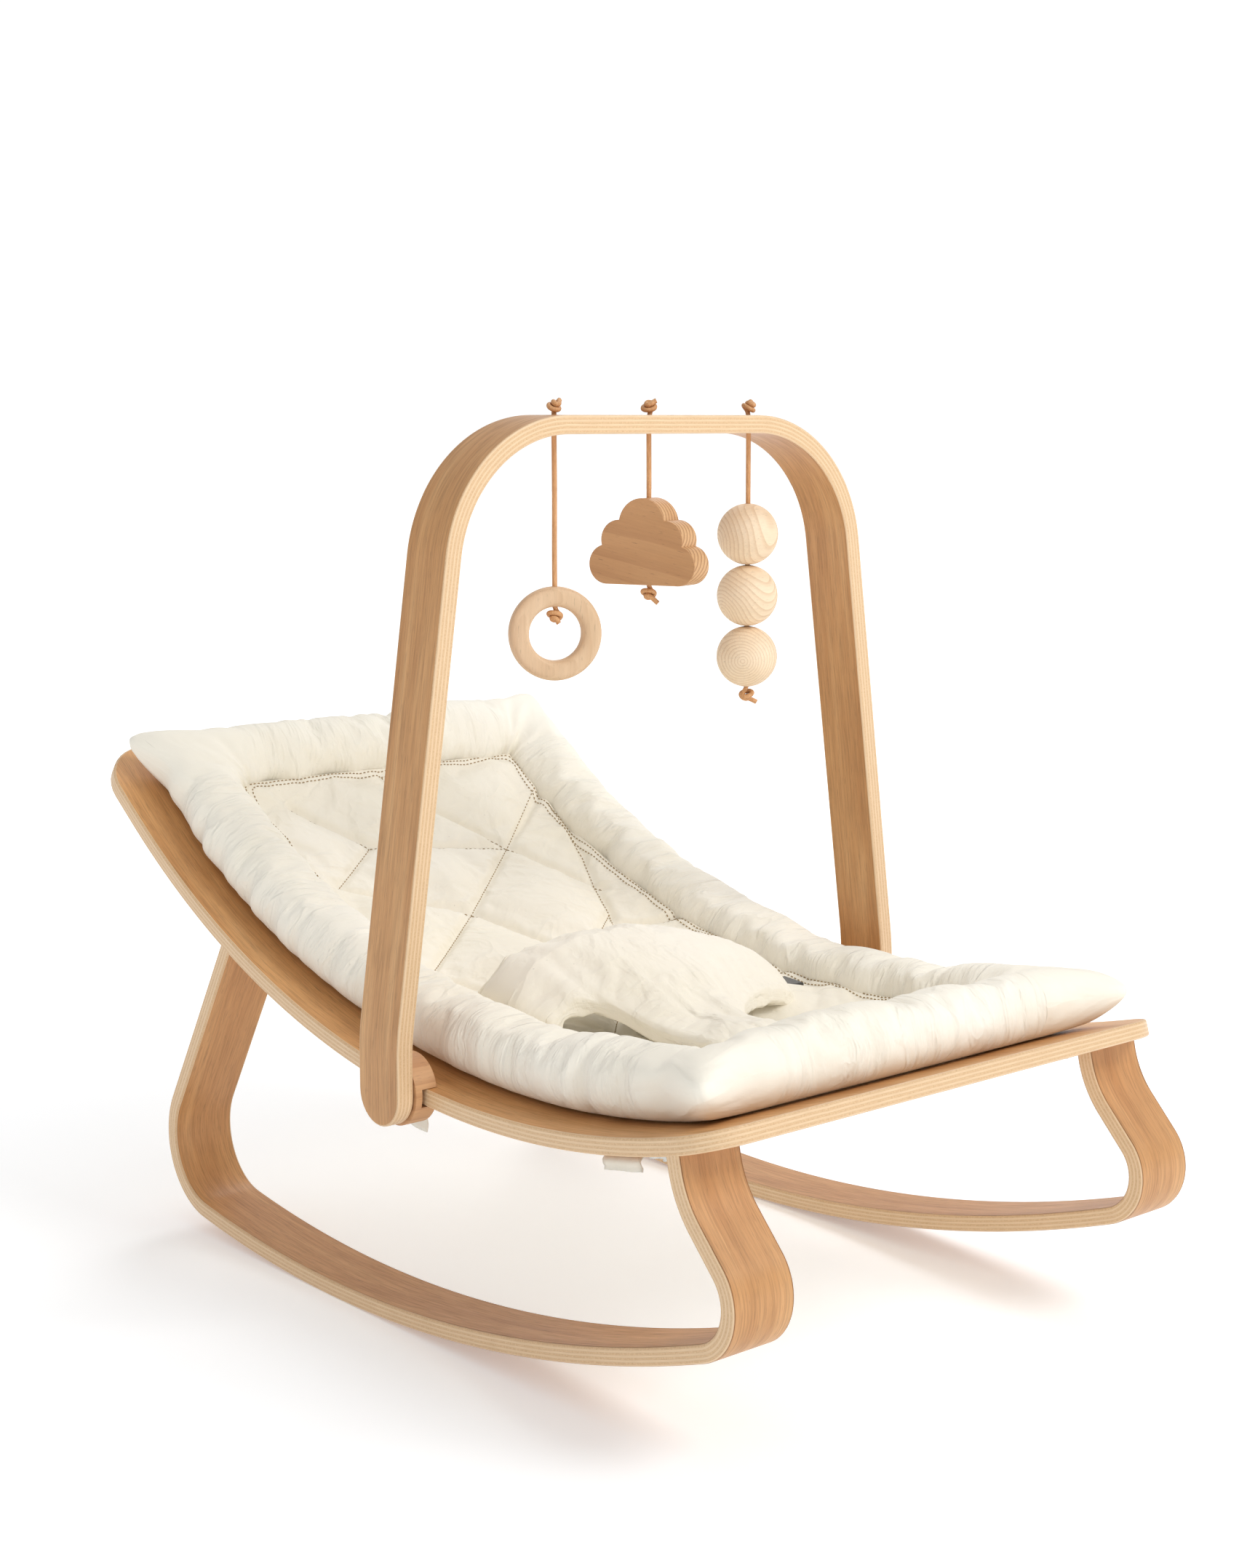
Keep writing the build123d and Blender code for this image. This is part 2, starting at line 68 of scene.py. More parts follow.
def seat_pt(s, x, d):
    """A point of the seat: s mm along the panel's underside from the foot edge, x across,
    d mm above the underside. Numpy arrays or numbers. Result in metres, row frame."""
    s = np.asarray(s, float); x = np.asarray(x, float); d = np.asarray(d, float)
    a = np.radians(FOOT_ANG) + np.minimum(s, ARC_LEN) / SEAT_R
    over = np.maximum(s - ARC_LEN, 0.0)
    y = SEAT_CY + (SEAT_R - d) * np.sin(a) + over * np.cos(a)
    z = SEAT_CZ - (SEAT_R - d) * np.cos(a) + over * np.sin(a)
    return np.stack([x + 0 * y, y + DY, z], -1) * MM


def seat_s(y, d):
    """s of the seat where the surface d above the underside has this y (contact frame)."""
    v = (y - SEAT_CY) / (SEAT_R - d)
    a = math.asin(max(-1, min(1, v)))
    if a <= math.radians(HEAD_ANG):
        return (a - math.radians(FOOT_ANG)) * SEAT_R
    h = math.radians(HEAD_ANG)
    y_end = SEAT_CY + (SEAT_R - d) * math.sin(h)
    return ARC_LEN + (y - y_end) / math.cos(h)


class Path2:
    """Straight and curved runs in a plane. ('L', length) or ('A', radius, turn deg)."""
    def __init__(self, start, heading, segs):
        self.segs = []
        u, v = start
        h = math.radians(heading)
        s = 0.0
        for g in segs:
            if g[0] == "L":
                self.segs.append((s, s + g[1], u, v, h, 0.0))
                u += g[1] * math.cos(h); v += g[1] * math.sin(h); s += g[1]
            else:
                t = math.radians(g[2])
                ln = abs(t) * g[1]
                k = t / ln
                self.segs.append((s, s + ln, u, v, h, k))
                u += (math.sin(h + t) - math.sin(h)) / k
                v -= (math.cos(h + t) - math.cos(h)) / k
                h += t; s += ln
        self.length = s

    def at(self, s, d):
        """points d to the left of the path at distance s, arrays"""
        s = np.asarray(s, float); d = np.asarray(d, float)
        u = np.zeros_like(s); v = np.zeros_like(s)
        for i, (a, b, u0, v0, h0, k) in enumerate(self.segs):
            lo = -1e9 if i == 0 else a
            hi = 1e9 if i == len(self.segs) - 1 else b
            m = (s >= lo) & (s < hi) if hi < 1e9 else (s >= lo)
            t = s[m] - a
            if k == 0.0:
                hh = np.full_like(t, h0)
                uu = u0 + t * math.cos(h0); vv = v0 + t * math.sin(h0)
            else:
                hh = h0 + k * t
                uu = u0 + (np.sin(hh) - math.sin(h0)) / k
                vv = v0 - (np.cos(hh) - math.cos(h0)) / k
            u[m] = uu - d[m] * np.sin(hh); v[m] = vv + d[m] * np.cos(hh)
        return u, v


def new_obj(name, me, body=None, mats=()):
    ob = bpy.data.objects.new(name, me)
    COL.objects.link(ob)
    for m in mats:
        me.materials.append(m)
    if body:
        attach(ob, body)
    return ob


def set_attr(me, name, data, kind="FLOAT_VECTOR"):
    at = me.attributes.new(name, kind, "POINT")
    if kind == "FLOAT_VECTOR":
        at.data.foreach_set("vector", np.asarray(data, np.float32).ravel())
    else:
        at.data.foreach_set("value", np.asarray(data, np.float32).ravel())


def get_co(me):
    a = np.empty(len(me.vertices) * 3, np.float32)
    me.vertices.foreach_get("co", a)
    return a.reshape(-1, 3).astype(float)


def set_co(me, co):
    me.vertices.foreach_set("co", np.asarray(co, np.float32).ravel())
    me.update()


def rrect(x0, x1, y0, y1, rs, n=10):
    """rounded rectangle; rs = radii at (x1,y0),(x1,y1),(x0,y1),(x0,y0)"""
    pts = []
    cs = [((x1 - rs[0], y0 + rs[0]), rs[0], -90), ((x1 - rs[1], y1 - rs[1]), rs[1], 0),
          ((x0 + rs[2], y1 - rs[2]), rs[2], 90), ((x0 + rs[3], y0 + rs[3]), rs[3], 180)]
    for (cx, cy), r, a0 in cs:
        for i in range(n + 1):
            a = math.radians(a0 + 90 * i / n)
            pts.append((cx + r * math.cos(a), cy + r * math.sin(a)))
    return pts


def flat_slab(name, outlines, t, bevel, cut_x=None, cut_y=None, res=3):
    """A flat plate in the plane (x, y) with holes, thickness t from z 0 to t, with rounded
    edges, cut across so that it bends well. Millimetres. Returns a mesh."""
    cu = bpy.data.curves.new(name, "CURVE")
    cu.dimensions = "2D"; cu.fill_mode = "BOTH"
    cu.extrude = t / 2 - bevel; cu.bevel_depth = bevel; cu.bevel_resolution = res
    cu.offset = -bevel
    for pts in outlines:
        sp = cu.splines.new("POLY")
        sp.points.add(len(pts) - 1)
        for p, q in zip(sp.points, pts):
            p.co = (q[0], q[1], 0, 1)
        sp.use_cyclic_u = True
    ob = bpy.data.objects.new(name + "_tmp", cu)
    COL.objects.link(ob)
    dg = bpy.context.evaluated_depsgraph_get()
    me = bpy.data.meshes.new_from_object(ob.evaluated_get(dg))
    bpy.data.objects.remove(ob); bpy.data.curves.remove(cu)
    bm = bmesh.new(); bm.from_mesh(me)
    bmesh.ops.remove_doubles(bm, verts=bm.verts, dist=0.001)
    for axis, cuts in ((0, cut_x), (1, cut_y)):
        if cuts is None:
            continue
        for c in cuts:
            co = [0, 0, 0]; no = [0, 0, 0]
            co[axis] = c; no[axis] = 1
            bmesh.ops.bisect_plane(bm, geom=bm.verts[:] + bm.edges[:] + bm.faces[:], dist=0.0005,
                                   plane_co=co, plane_no=no)
    bmesh.ops.translate(bm, verts=bm.verts, vec=(0, 0, t / 2))
    bmesh.ops.recalc_face_normals(bm, faces=bm.faces)
    for f in bm.faces:
        f.smooth = True
    bm.to_mesh(me); bm.free()
    me.materials.clear()
    return me


def bend(me, fn, edge_w=None):
    """moves flat (x, y, z) mm to the row frame with fn(x, y, z) -> metres and keeps the flat
    place as the grain attribute"""
    co = get_co(me)
    t = co[:, 2].max()
    flat = (co[:, 2] < 0.01) | (co[:, 2] > t - 0.01)
    set_attr(me, "grain", co * MM)
    set_attr(me, "edge", np.where(flat, 0.0, 1.0), "FLOAT")
    set_co(me, fn(co[:, 0], co[:, 1], co[:, 2]))
    return me


def smooth_by_angle(ob, ang=40):
    me = ob.data
    for p in me.polygons:
        p.use_smooth = True
    bm = bmesh.new(); bm.from_mesh(me)
    for e in bm.edges:
        if len(e.link_faces) == 2 and e.calc_face_angle(0) > math.radians(ang):
            e.smooth = False
    bm.to_mesh(me); bm.free()
    wn = ob.modifiers.new("weighted", "WEIGHTED_NORMAL")
    wn.keep_sharp = True; wn.weight = 80

# ------------------------------------------------------------------ materials

class NT:
    """small helper for node trees"""
    def __init__(self, name):
        self.m = bpy.data.materials.new(name)
        self.m.use_nodes = True
        self.t = self.m.node_tree
        self.t.nodes.clear()
        self.out = self.t.nodes.new("ShaderNodeOutputMaterial")
        self.b = self.t.nodes.new("ShaderNodeBsdfPrincipled")
        self.t.links.new(self.b.outputs[0], self.out.inputs[0])

    def n(self, kind, **kw):
        nd = self.t.nodes.new(kind)
        for k, v in kw.items():
            setattr(nd, k, v)
        return nd

    def l(self, a, b):
        self.t.links.new(a, b)

    def attr(self, name):
        nd = self.n("ShaderNodeAttribute"); nd.attribute_name = name
        return nd

    def mapping(self, vec, scale=(1, 1, 1), loc=(0, 0, 0), rot=(0, 0, 0)):
        nd = self.n("ShaderNodeMapping")
        self.l(vec, nd.inputs[0])
        nd.inputs["Location"].default_value = loc
        nd.inputs["Rotation"].default_value = rot
        nd.inputs["Scale"].default_value = scale
        return nd.outputs[0]

    def noise(self, vec, scale, detail=3.0, rough=0.55, dist=0.0, out="Fac"):
        nd = self.n("ShaderNodeTexNoise")
        self.l(vec, nd.inputs["Vector"])
        nd.inputs["Scale"].default_value = scale
        nd.inputs["Detail"].default_value = detail
        nd.inputs["Roughness"].default_value = rough
        nd.inputs["Distortion"].default_value = dist
        return nd.outputs[out]

    def ramp(self, fac, stops, interp="LINEAR"):
        nd = self.n("ShaderNodeValToRGB")
        self.l(fac, nd.inputs[0])
        cr = nd.color_ramp; cr.interpolation = interp
        while len(cr.elements) < len(stops):
            cr.elements.new(0.5)
        for e, (p, c) in zip(cr.elements, stops):
            e.position = p
            e.color = (c[0], c[1], c[2], 1) if isinstance(c, (tuple, list)) else (c, c, c, 1)
        return nd.outputs[0]

    def math(self, op, a, b=None, clamp=False):
        nd = self.n("ShaderNodeMath", operation=op)
        nd.use_clamp = clamp
        for i, v in enumerate((a, b)):
            if v is None:
                continue
            if isinstance(v, (int, float)):
                nd.inputs[i].default_value = v
            else:
                self.l(v, nd.inputs[i])
        return nd.outputs[0]

    def mix(self, fac, a, b, blend="MIX"):
        nd = self.n("ShaderNodeMix", data_type="RGBA", blend_type=blend)
        for i, v in ((0, fac), (6, a), (7, b)):
            if isinstance(v, (int, float)):
                nd.inputs[i].default_value = v
            elif isinstance(v, tuple):
                nd.inputs[i].default_value = (v[0], v[1], v[2], 1)
            else:
                self.l(v, nd.inputs[i])
        return nd.outputs[2]

    def bump(self, h, strength, dist, prev=None):
        nd = self.n("ShaderNodeBump")
        nd.inputs["Strength"].default_value = strength
        nd.inputs["Distance"].default_value = dist
        self.l(h, nd.inputs["Height"])
        if prev is not None:
            self.l(prev, nd.inputs["Normal"])
        return nd.outputs[0]

    def sep(self, vec):
        nd = self.n("ShaderNodeSeparateXYZ"); self.l(vec, nd.inputs[0])
        return nd.outputs

    def comb(self, x, y, z):
        nd = self.n("ShaderNodeCombineXYZ")
        for i, v in enumerate((x, y, z)):
            if isinstance(v, (int, float)):
                nd.inputs[i].default_value = v
            else:
                self.l(v, nd.inputs[i])
        return nd.outputs[0]

    def done(self, color, rough, normal=None, **const):
        self.l(color, self.b.inputs["Base Color"])
        if isinstance(rough, (int, float)):
            self.b.inputs["Roughness"].default_value = rough
        else:
            self.l(rough, self.b.inputs["Roughness"])
        if normal is not None:
            self.l(normal, self.b.inputs["Normal"])
        for k, v in const.items():
            self.b.inputs[k.replace("_", " ")].default_value = v
        return self.m


def srgb(r, g, b):
    def f(c):
        c /= 255.0
        return c / 12.92 if c <= 0.04045 else ((c + 0.055) / 1.055) ** 2.4
    return (f(r), f(g), f(b))


def plywood(name, light, mid, dark, plies=9, t=PLY, along="y", gloss=0.36, seed=0.0):
    """Face veneer with grain, pores and flecks along the strip, and ply edges."""
    k = NT(name)
    g = k.attr("grain").outputs["Vector"]
    e = k.attr("edge").outputs["Fac"]
    x, y, z = k.sep(g)[:3]
    # long wavy figure
    gm = k.mapping(g, scale=(9, 1.1, 3) if along == "y" else (1.1, 9, 3), loc=(seed, seed * 2, 0))
    broad = k.noise(gm, 2.4, 3, 0.5, 0.6)
    gf = k.mapping(g, scale=(260, 9, 60) if along == "y" else (9, 260, 60), loc=(seed, 0, 0))
    fine = k.noise(gf, 3.0, 4, 0.62, 0.15)
    gp = k.mapping(g, scale=(900, 60, 200) if along == "y" else (60, 900, 200), loc=(0, seed, 0))
    pore = k.noise(gp, 1.6, 2, 0.5)
    gs = k.mapping(g, scale=(38, 2.2, 8) if along == "y" else (2.2, 38, 8), loc=(seed * 3, 0, 0))
    streak = k.noise(gs, 3.2, 3, 0.5, 0.35)
    face = k.ramp(k.math("ADD", k.math("MULTIPLY", broad, 0.5), k.math("MULTIPLY", streak, 0.5)),
                  [(0.30, dark), (0.52, mid), (0.72, light)])
    fleck = k.ramp(fine, [(0.36, 0.80), (0.55, 1.0), (0.7, 1.05)])
    face = k.mix(1.0, face, fleck, "MULTIPLY")
    poremask = k.ramp(pore, [(0.30, 0.62), (0.40, 1.0)])
    face = k.mix(0.55, face, poremask, "MULTIPLY")
    # ply edge: bands through the thickness, alternately long grain and end grain
    wob = k.noise(k.mapping(g, scale=(6, 6, 1)), 2.0, 2, 0.5)
    zz = k.math("ADD", k.math("MULTIPLY", z, plies / (t * MM)), k.math("MULTIPLY", wob, 0.35))
    band = k.math("FRACT", k.math("MULTIPLY", zz, 0.5))
    alt = k.ramp(band, [(0.0, 0.0), (0.46, 0.0), (0.5, 1.0), (0.96, 1.0), (1.0, 0.0)])
    glue = k.ramp(k.math("FRACT", zz), [(0.0, 0.78), (0.07, 1.0), (0.94, 1.0), (1.0, 0.78)])
    ge = k.mapping(g, scale=(420, 420, 420))
    end = k.noise(ge, 2.0, 3, 0.6)
    gl = k.mapping(g, scale=(30, 30, 900))
    lng = k.noise(gl, 2.0, 3, 0.6)
    c_end = k.ramp(end, [(0.3, srgb(206, 168, 126)), (0.65, srgb(224, 190, 148))])
    c_lng = k.ramp(lng, [(0.3, srgb(220, 188, 148)), (0.7, srgb(234, 204, 166))])
    edge = k.mix(alt, c_lng, c_end)
    edge = k.mix(1.0, edge, glue, "MULTIPLY")
    mask = k.ramp(e, [(0.30, 0.0), (0.55, 1.0)])
    col = k.mix(mask, face, edge)
    rough = k.ramp(fine, [(0.3, gloss + 0.16), (0.7, gloss + 0.02)])
    h = k.math("ADD", k.math("MULTIPLY", pore, 0.6), k.math("MULTIPLY", fine, 0.8))
    h = k.math("ADD", h, k.math("MULTIPLY", k.math("MULTIPLY", glue, mask), 0.8))
    nb = k.bump(h, 0.22, 0.0006)
    return k.done(col, rough, nb, Coat_Weight=0.05, Coat_Roughness=0.25)


def solid_wood(name, light, mid, dark, center=(0, 0, 0), axis="z", rings=230.0, tilt=(0, 0, 0),
               fleck=1.0, rough=0.55, contrast=1.0, centre_far=(0.05, 0.02, 0)):
    """Turned or sawn beech: growth rings about a line, fine flecks and pores along it."""
    k = NT(name)
    tc = k.n("ShaderNodeTexCoord").outputs["Object"]
    mp = k.n("ShaderNodeMapping")
    mp.vector_type = "TEXTURE"
    k.l(tc, mp.inputs[0])
    mp.inputs["Location"].default_value = center
    mp.inputs["Rotation"].default_value = tilt
    v = mp.outputs[0]
    off = k.mapping(v, loc=centre_far)
    wob = k.noise(k.mapping(v, scale=(30, 30, 6)), 1.0, 3, 0.5, 0.4, out="Color")
    w3 = k.n("ShaderNodeVectorMath", operation="SCALE"); k.l(wob, w3.inputs[0]); w3.inputs[3].default_value = 0.004
    ad = k.n("ShaderNodeVectorMath", operation="ADD"); k.l(off, ad.inputs[0]); k.l(w3.outputs[0], ad.inputs[1])
    x, y, z = k.sep(ad.outputs[0])[:3]
    r = k.math("SQRT", k.math("ADD", k.math("MULTIPLY", x, x), k.math("MULTIPLY", y, y)))
    saw = k.math("FRACT", k.math("MULTIPLY", r, rings))
    ring = k.ramp(saw, [(0.0, 0.15), (0.55, 0.30), (0.9, 1.0), (0.97, 0.9), (1.0, 0.15)])
    base = k.ramp(k.noise(k.mapping(v, scale=(60, 60, 12)), 1.0, 3, 0.5), [(0.3, light), (0.7, mid)])
    col = k.mix(k.math("MULTIPLY", ring, 0.45 * contrast), base, dark)
    pores = k.noise(k.mapping(v, scale=(1100, 1100, 120)), 1.0, 2, 0.5)
    fl = k.ramp(pores, [(0.27, 0.60), (0.36, 1.0)])
    col = k.mix(0.6 * fleck, col, fl, "MULTIPLY")
    fib = k.noise(k.mapping(v, scale=(700, 700, 30)), 1.0, 3, 0.6)
    col = k.mix(0.5, col, k.ramp(fib, [(0.3, 0.88), (0.7, 1.06)]), "MULTIPLY")
    nb = k.bump(k.math("ADD", k.math("MULTIPLY", pores, 0.8), k.math("MULTIPLY", ring, 0.15)), 0.18, 0.0004)
    return k.done(col, k.ramp(fib, [(0.3, rough + 0.08), (0.7, rough - 0.04)]), nb)


def cotton(name, base, shade, weave=1500.0, slub=1.0, bump=0.35, attr="grain", crease=(46, 46, 46)):
    """Unbleached cotton: fine plain weave, slubs both ways, seed flecks, soft sheen."""
    k = NT(name)
    g = k.attr(attr).outputs["Vector"]
    x, y, z = k.sep(g)[:3]
    wob = k.noise(k.mapping(g, scale=(40, 40, 40)), 1.0, 2, 0.5)
    wx = k.math("SINE", k.math("ADD", k.math("MULTIPLY", x, weave * 6.283 / 1.0), k.math("MULTIPLY", wob, 6.0)))
    wy = k.math("SINE", k.math("ADD", k.math("MULTIPLY", y, weave * 6.283 / 1.0), k.math("MULTIPLY", wob, 6.0)))
    wv = k.math("MULTIPLY", wx, wy)
    s1 = k.noise(k.mapping(g, scale=(22, 900, 60)), 1.0, 2, 0.5)
    s2 = k.noise(k.mapping(g, scale=(900, 22, 60)), 1.0, 2, 0.5)
    th = k.math("ADD", s1, s2)
    slubs = k.ramp(th, [(0.42, 0.0), (0.50, 0.5), (0.58, 1.0)])
    big = k.noise(k.mapping(g, scale=(7, 7, 7)), 1.0, 3, 0.5)
    col = k.ramp(big, [(0.3, shade), (0.7, base)])
    col = k.mix(0.5, col, k.ramp(th, [(0.40, 0.93), (0.60, 1.03)]), "MULTIPLY")
    seed = k.n("ShaderNodeTexVoronoi"); seed.feature = "F1"
    k.l(k.mapping(g, scale=(1, 1, 1)), seed.inputs["Vector"]); seed.inputs["Scale"].default_value = 95.0
    sd = k.ramp(seed.outputs["Distance"], [(0.030, 0.55), (0.055, 1.0)])
    col = k.mix(0.35 * slub, col, sd, "MULTIPLY")
    h = k.math("ADD", k.math("MULTIPLY", wv, 0.22), k.math("MULTIPLY", slubs, 0.5 * slub))
    nb = k.bump(h, bump, 0.0003)
    cr = k.noise(k.mapping(g, scale=crease), 1.0, 3, 0.55, 0.9)
    nb1 = k.bump(cr, 0.55, 0.0034, nb)
    cr2 = k.noise(k.mapping(g, scale=tuple(v * 0.33 for v in crease), loc=(0.3, 0.1, 0)), 1.0, 3, 0.5, 1.2)
    nb2 = k.bump(k.ramp(cr2, [(0.42, 0.0), (0.50, 1.0), (0.58, 0.0)]), 0.30, 0.0030, nb1)
    m = k.done(col, 0.92, nb2, Sheen_Weight=0.28, Sheen_Roughness=0.6, Specular_IOR_Level=0.2)
    return m


def simple(name, c1, c2, scale=60.0, rough=0.5, metal=0.0, bump=0.15, aniso=None):
    k = NT(name)
    tc = k.n("ShaderNodeTexCoord").outputs["Object"]
    vec = k.mapping(tc, scale=aniso or (1, 1, 1))
    n = k.noise(vec, scale, 4, 0.6)
    n2 = k.noise(vec, scale * 8, 3, 0.6)
    col = k.ramp(n, [(0.35, c1), (0.65, c2)])
    nb = k.bump(n2, bump, 0.0003)
    return k.done(col, k.ramp(n2, [(0.3, rough + 0.1), (0.7, rough - 0.05)]), nb, Metallic=metal)


LIGHT, MID, DARK = srgb(232, 192, 150), srgb(212, 166, 120), srgb(190, 140, 95)
M_PANEL = plywood("panel_ply", srgb(230, 180, 124), srgb(214, 160, 102), srgb(196, 138, 80), 8, PLY, "y", seed=1.3)
M_RUN = plywood("runner_ply", srgb(220, 170, 116), srgb(202, 149, 96), srgb(182, 127, 75), 8, PLY, "y", seed=4.1)
M_ARCH = plywood("arch_ply", srgb(219, 171, 117), srgb(199, 147, 93), srgb(179, 124, 71), 9, 12.0, "y", seed=7.7)
M_BLOCK = solid_wood("block_beech", srgb(214, 168, 122), srgb(200, 150, 104), srgb(170, 118, 78),
                     center=(0.2, ARCH_Y * MM + DY * MM, 0.16), tilt=(0, math.radians(90), 0), rings=120)
M_COTTON = cotton("cotton", srgb(248, 243, 231), srgb(243, 237, 221), crease=(120, 30, 30))
M_PAD = cotton("cotton_pad", srgb(248, 242, 229), srgb(242, 235, 218), crease=(52, 36, 40))
M_COTTON2 = cotton("cotton_quilt", srgb(248, 242, 229), srgb(242, 235, 217), crease=(44, 44, 44))
M_FLAP = cotton("cotton_tape", srgb(242, 237, 224), srgb(232, 226, 210), weave=700, bump=0.6)
M_THREAD = simple("thread", srgb(150, 128, 92), srgb(176, 152, 114), 900, 0.85)
M_LACE = simple("leather_lace", srgb(196, 142, 92), srgb(218, 166, 116), 160, 0.55, bump=0.5, aniso=(6, 6, 1))
M_BUCKLE = simple("black_plastic", srgb(40, 38, 37), srgb(58, 56, 54), 400, 0.4)
M_CLEAR = simple("milky_plastic", srgb(206, 206, 200), srgb(224, 224, 220), 300, 0.25)
M_ZINC = simple("zinc", srgb(196, 196, 190), srgb(216, 216, 212), 300, 0.35, 1.0, 0.2)
M_NYLON = simple("nylon", srgb(222, 218, 206), srgb(234, 231, 222), 300, 0.45)

# ------------------------------------------------------------------ camera, floor, light
cam_d = bpy.data.cameras.new("cam"); cam = bpy.data.objects.new("cam", cam_d); COL.objects.link(cam)
cam_d.sensor_fit = "AUTO"; cam_d.sensor_width = 36.0; cam_d.lens = 55.18
cam_d.shift_y = 0.022; cam_d.clip_start = 0.05; cam_d.clip_end = 60
cam.location = (-1.0507, -1.2427, 0.5772)
cam.rotation_euler = (math.radians(90 - 9.43), 0, math.radians(-40.79))
bpy.context.scene.camera = cam

bm = bmesh.new()
for a in range(1):
    bmesh.ops.create_grid(bm, x_segments=8, y_segments=8, size=14)
fme = bpy.data.meshes.new("floor"); bm.to_mesh(fme); bm.free()
kf = NT("floor_white")
tcf = kf.n("ShaderNodeTexCoord").outputs["Object"]
nf = kf.noise(tcf, 3.0, 3, 0.5)
M_FLOOR = kf.done(kf.ramp(nf, [(0.3, (0.90, 0.915, 0.93)), (0.7, (0.92, 0.935, 0.95))]), 0.9)
kf.b.inputs["Emission Color"].default_value = (0.99, 1.0, 1.015, 1)
gl_ = kf.n("ShaderNodeVectorMath", operation="LENGTH"); kf.l(tcf, gl_.inputs[0])
kf.l(kf.ramp(kf.math("MULTIPLY", gl_.outputs["Value"], 0.25), [(0.10, 0.25), (0.50, 0.66)]), kf.b.inputs["Emission Strength"])
kf.b.inputs["Specular IOR Level"].default_value = 0.0
floor = new_obj("floor", fme, None, [M_FLOOR]); floor.location = (0, 0, -0.0002)
floor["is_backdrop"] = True

w = bpy.data.worlds.new("world"); bpy.context.scene.world = w
w.use_nodes = True
wt = w.node_tree
wb = wt.nodes["Background"]
wb.inputs[0].default_value = (1.0, 1.0, 1.0, 1)
wb.inputs[1].default_value = 0.62
wb2 = wt.nodes.new("ShaderNodeBackground"); wb2.inputs[0].default_value = (1, 1, 1, 1); wb2.inputs[1].default_value = 1.05
lp = wt.nodes.new("ShaderNodeLightPath"); wm = wt.nodes.new("ShaderNodeMixShader")
wt.links.new(lp.outputs["Is Camera Ray"], wm.inputs[0]); wt.links.new(wb.outputs[0], wm.inputs[1]); wt.links.new(wb2.outputs[0], wm.inputs[2])
wt.links.new(wm.outputs[0], wt.nodes["World Output"].inputs[0])
vs = bpy.context.scene.view_settings
vs.view_transform = "Standard"; vs.look = "None"; vs.exposure = 0.0; vs.gamma = 1.0


def area(name, loc, target, size, power, color=(1, 1, 1)):
    d = bpy.data.lights.new(name, "AREA"); d.shape = "DISK"; d.size = size; d.energy = power; d.color = color
    o = bpy.data.objects.new(name, d); COL.objects.link(o); o.location = loc
    o.rotation_euler = (Vector(target) - Vector(loc)).to_track_quat("-Z", "Y").to_euler()
    return o


area("key", (0.9, -2.3, 2.5), (0, 0, 0.2), 1.5, 43, (1.0, 0.995, 0.985))
area("side", (1.7, 1.3, 2.1), (0, 0, 0.2), 1.3, 17, (1.0, 0.995, 0.985))
area("fill", (-0.6, -2.6, 0.7), (0, 0, 0.25), 1.6, 5)

# ------------------------------------------------------------------ seat panel
WIN = rrect(-136, 136, seat_s(-298, 5), seat_s(232, 5), (55, 55, 55, 55))
TOTAL = ARC_LEN + HEAD_LEN
cuts = list(np.arange(8, TOTAL, 9.0))
me = flat_slab("panel", [rrect(-HALF_W, HALF_W, 0, TOTAL, (32, 40, 40, 32)), WIN], PLY, 1.7, cut_y=cuts)
bend(me, lambda x, y, z: seat_pt(y, x, z))
panel = new_obj("seat_panel_wood", me, "seat", [M_PANEL])
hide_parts("seat_panel")
smooth_by_angle(panel, 50)

# ------------------------------------------------------------------ rockers
rear_a = math.degrees(math.asin((159.5 - 5.2) / (1060 - 54.6)))
sy, sz = 5.2 + 1060 * math.sin(math.radians(rear_a)), 1060 - 1060 * math.cos(math.radians(rear_a))
up = Path2((sy, sz), rear_a, [("A", 54.6, 120.4 - rear_a), ("L", 147.0)])
eu, ev = up.at(np.array([up.length]), np.array([0.0]))
run = Path2((eu[0], ev[0]), 300.4, [("L", 147.0), ("A", 54.6, -(120.4 - rear_a)), ("A", 1060.0, -(rear_a + 20.27)),
                                    ("A", 35.5, -112.73), ("L", 28.2), ("A", 60.5, 30.0), ("L", 11.5)])
for side, x0 in (("right", -HALF_W), ("left", HALF_W - 47.3)):
    cuts = sorted(set(np.round(np.concatenate([np.arange(10, 147, 12), np.arange(147, 262, 3.5), np.arange(262, 790, 11),
                                     np.arange(786, run.length - 1, 3.0)]), 2)))
    me = flat_slab("runner", [rrect(0.35, 46.95, 0, run.length, (0.5, 0.5, 0.5, 0.5), 2)], PLY, 1.6, cut_y=cuts)
    def rmap(x, y, z, x0=x0):
        u, v = run.at(y, -z)
        return np.stack([x + x0, u + DY, v], -1) * MM
    bend(me, rmap)
    ob = new_obj("runner_wood_" + side, me, "seat", [M_RUN])
    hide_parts("runner_" + side)
    smooth_by_angle(ob, 50)

# ------------------------------------------------------------------ arch
la = math.radians(8.05)
AX, AR, AST, ATOP, ALOW = 221.8, 98.6, 82.0, 580.0, 180.0
leg_len = (AX - ALOW * (1 - math.cos(la)) - (AST + AR * math.cos(la))) / math.sin(la)
low_len = (ATOP - AR + AR * math.sin(la)) - leg_len * math.cos(la) - ALOW * math.sin(la) - PIV_Z
END = 20.95
arc = Path2((AX, PIV_Z - END), 90, [("L", low_len + END), ("A", ALOW, 8.05), ("L", leg_len), ("A", AR, 81.95),
                                   ("L", 2 * AST), ("A", AR, 81.95), ("L", leg_len), ("A", ALOW, 8.05), ("L", low_len + END)])
AL = arc.length
hw = 20.95
outline = []
for i in range(17):
    a = math.radians(180 + 180 * i / 16)
    outline.append((hw + hw * math.cos(a), hw + hw * math.sin(a)))
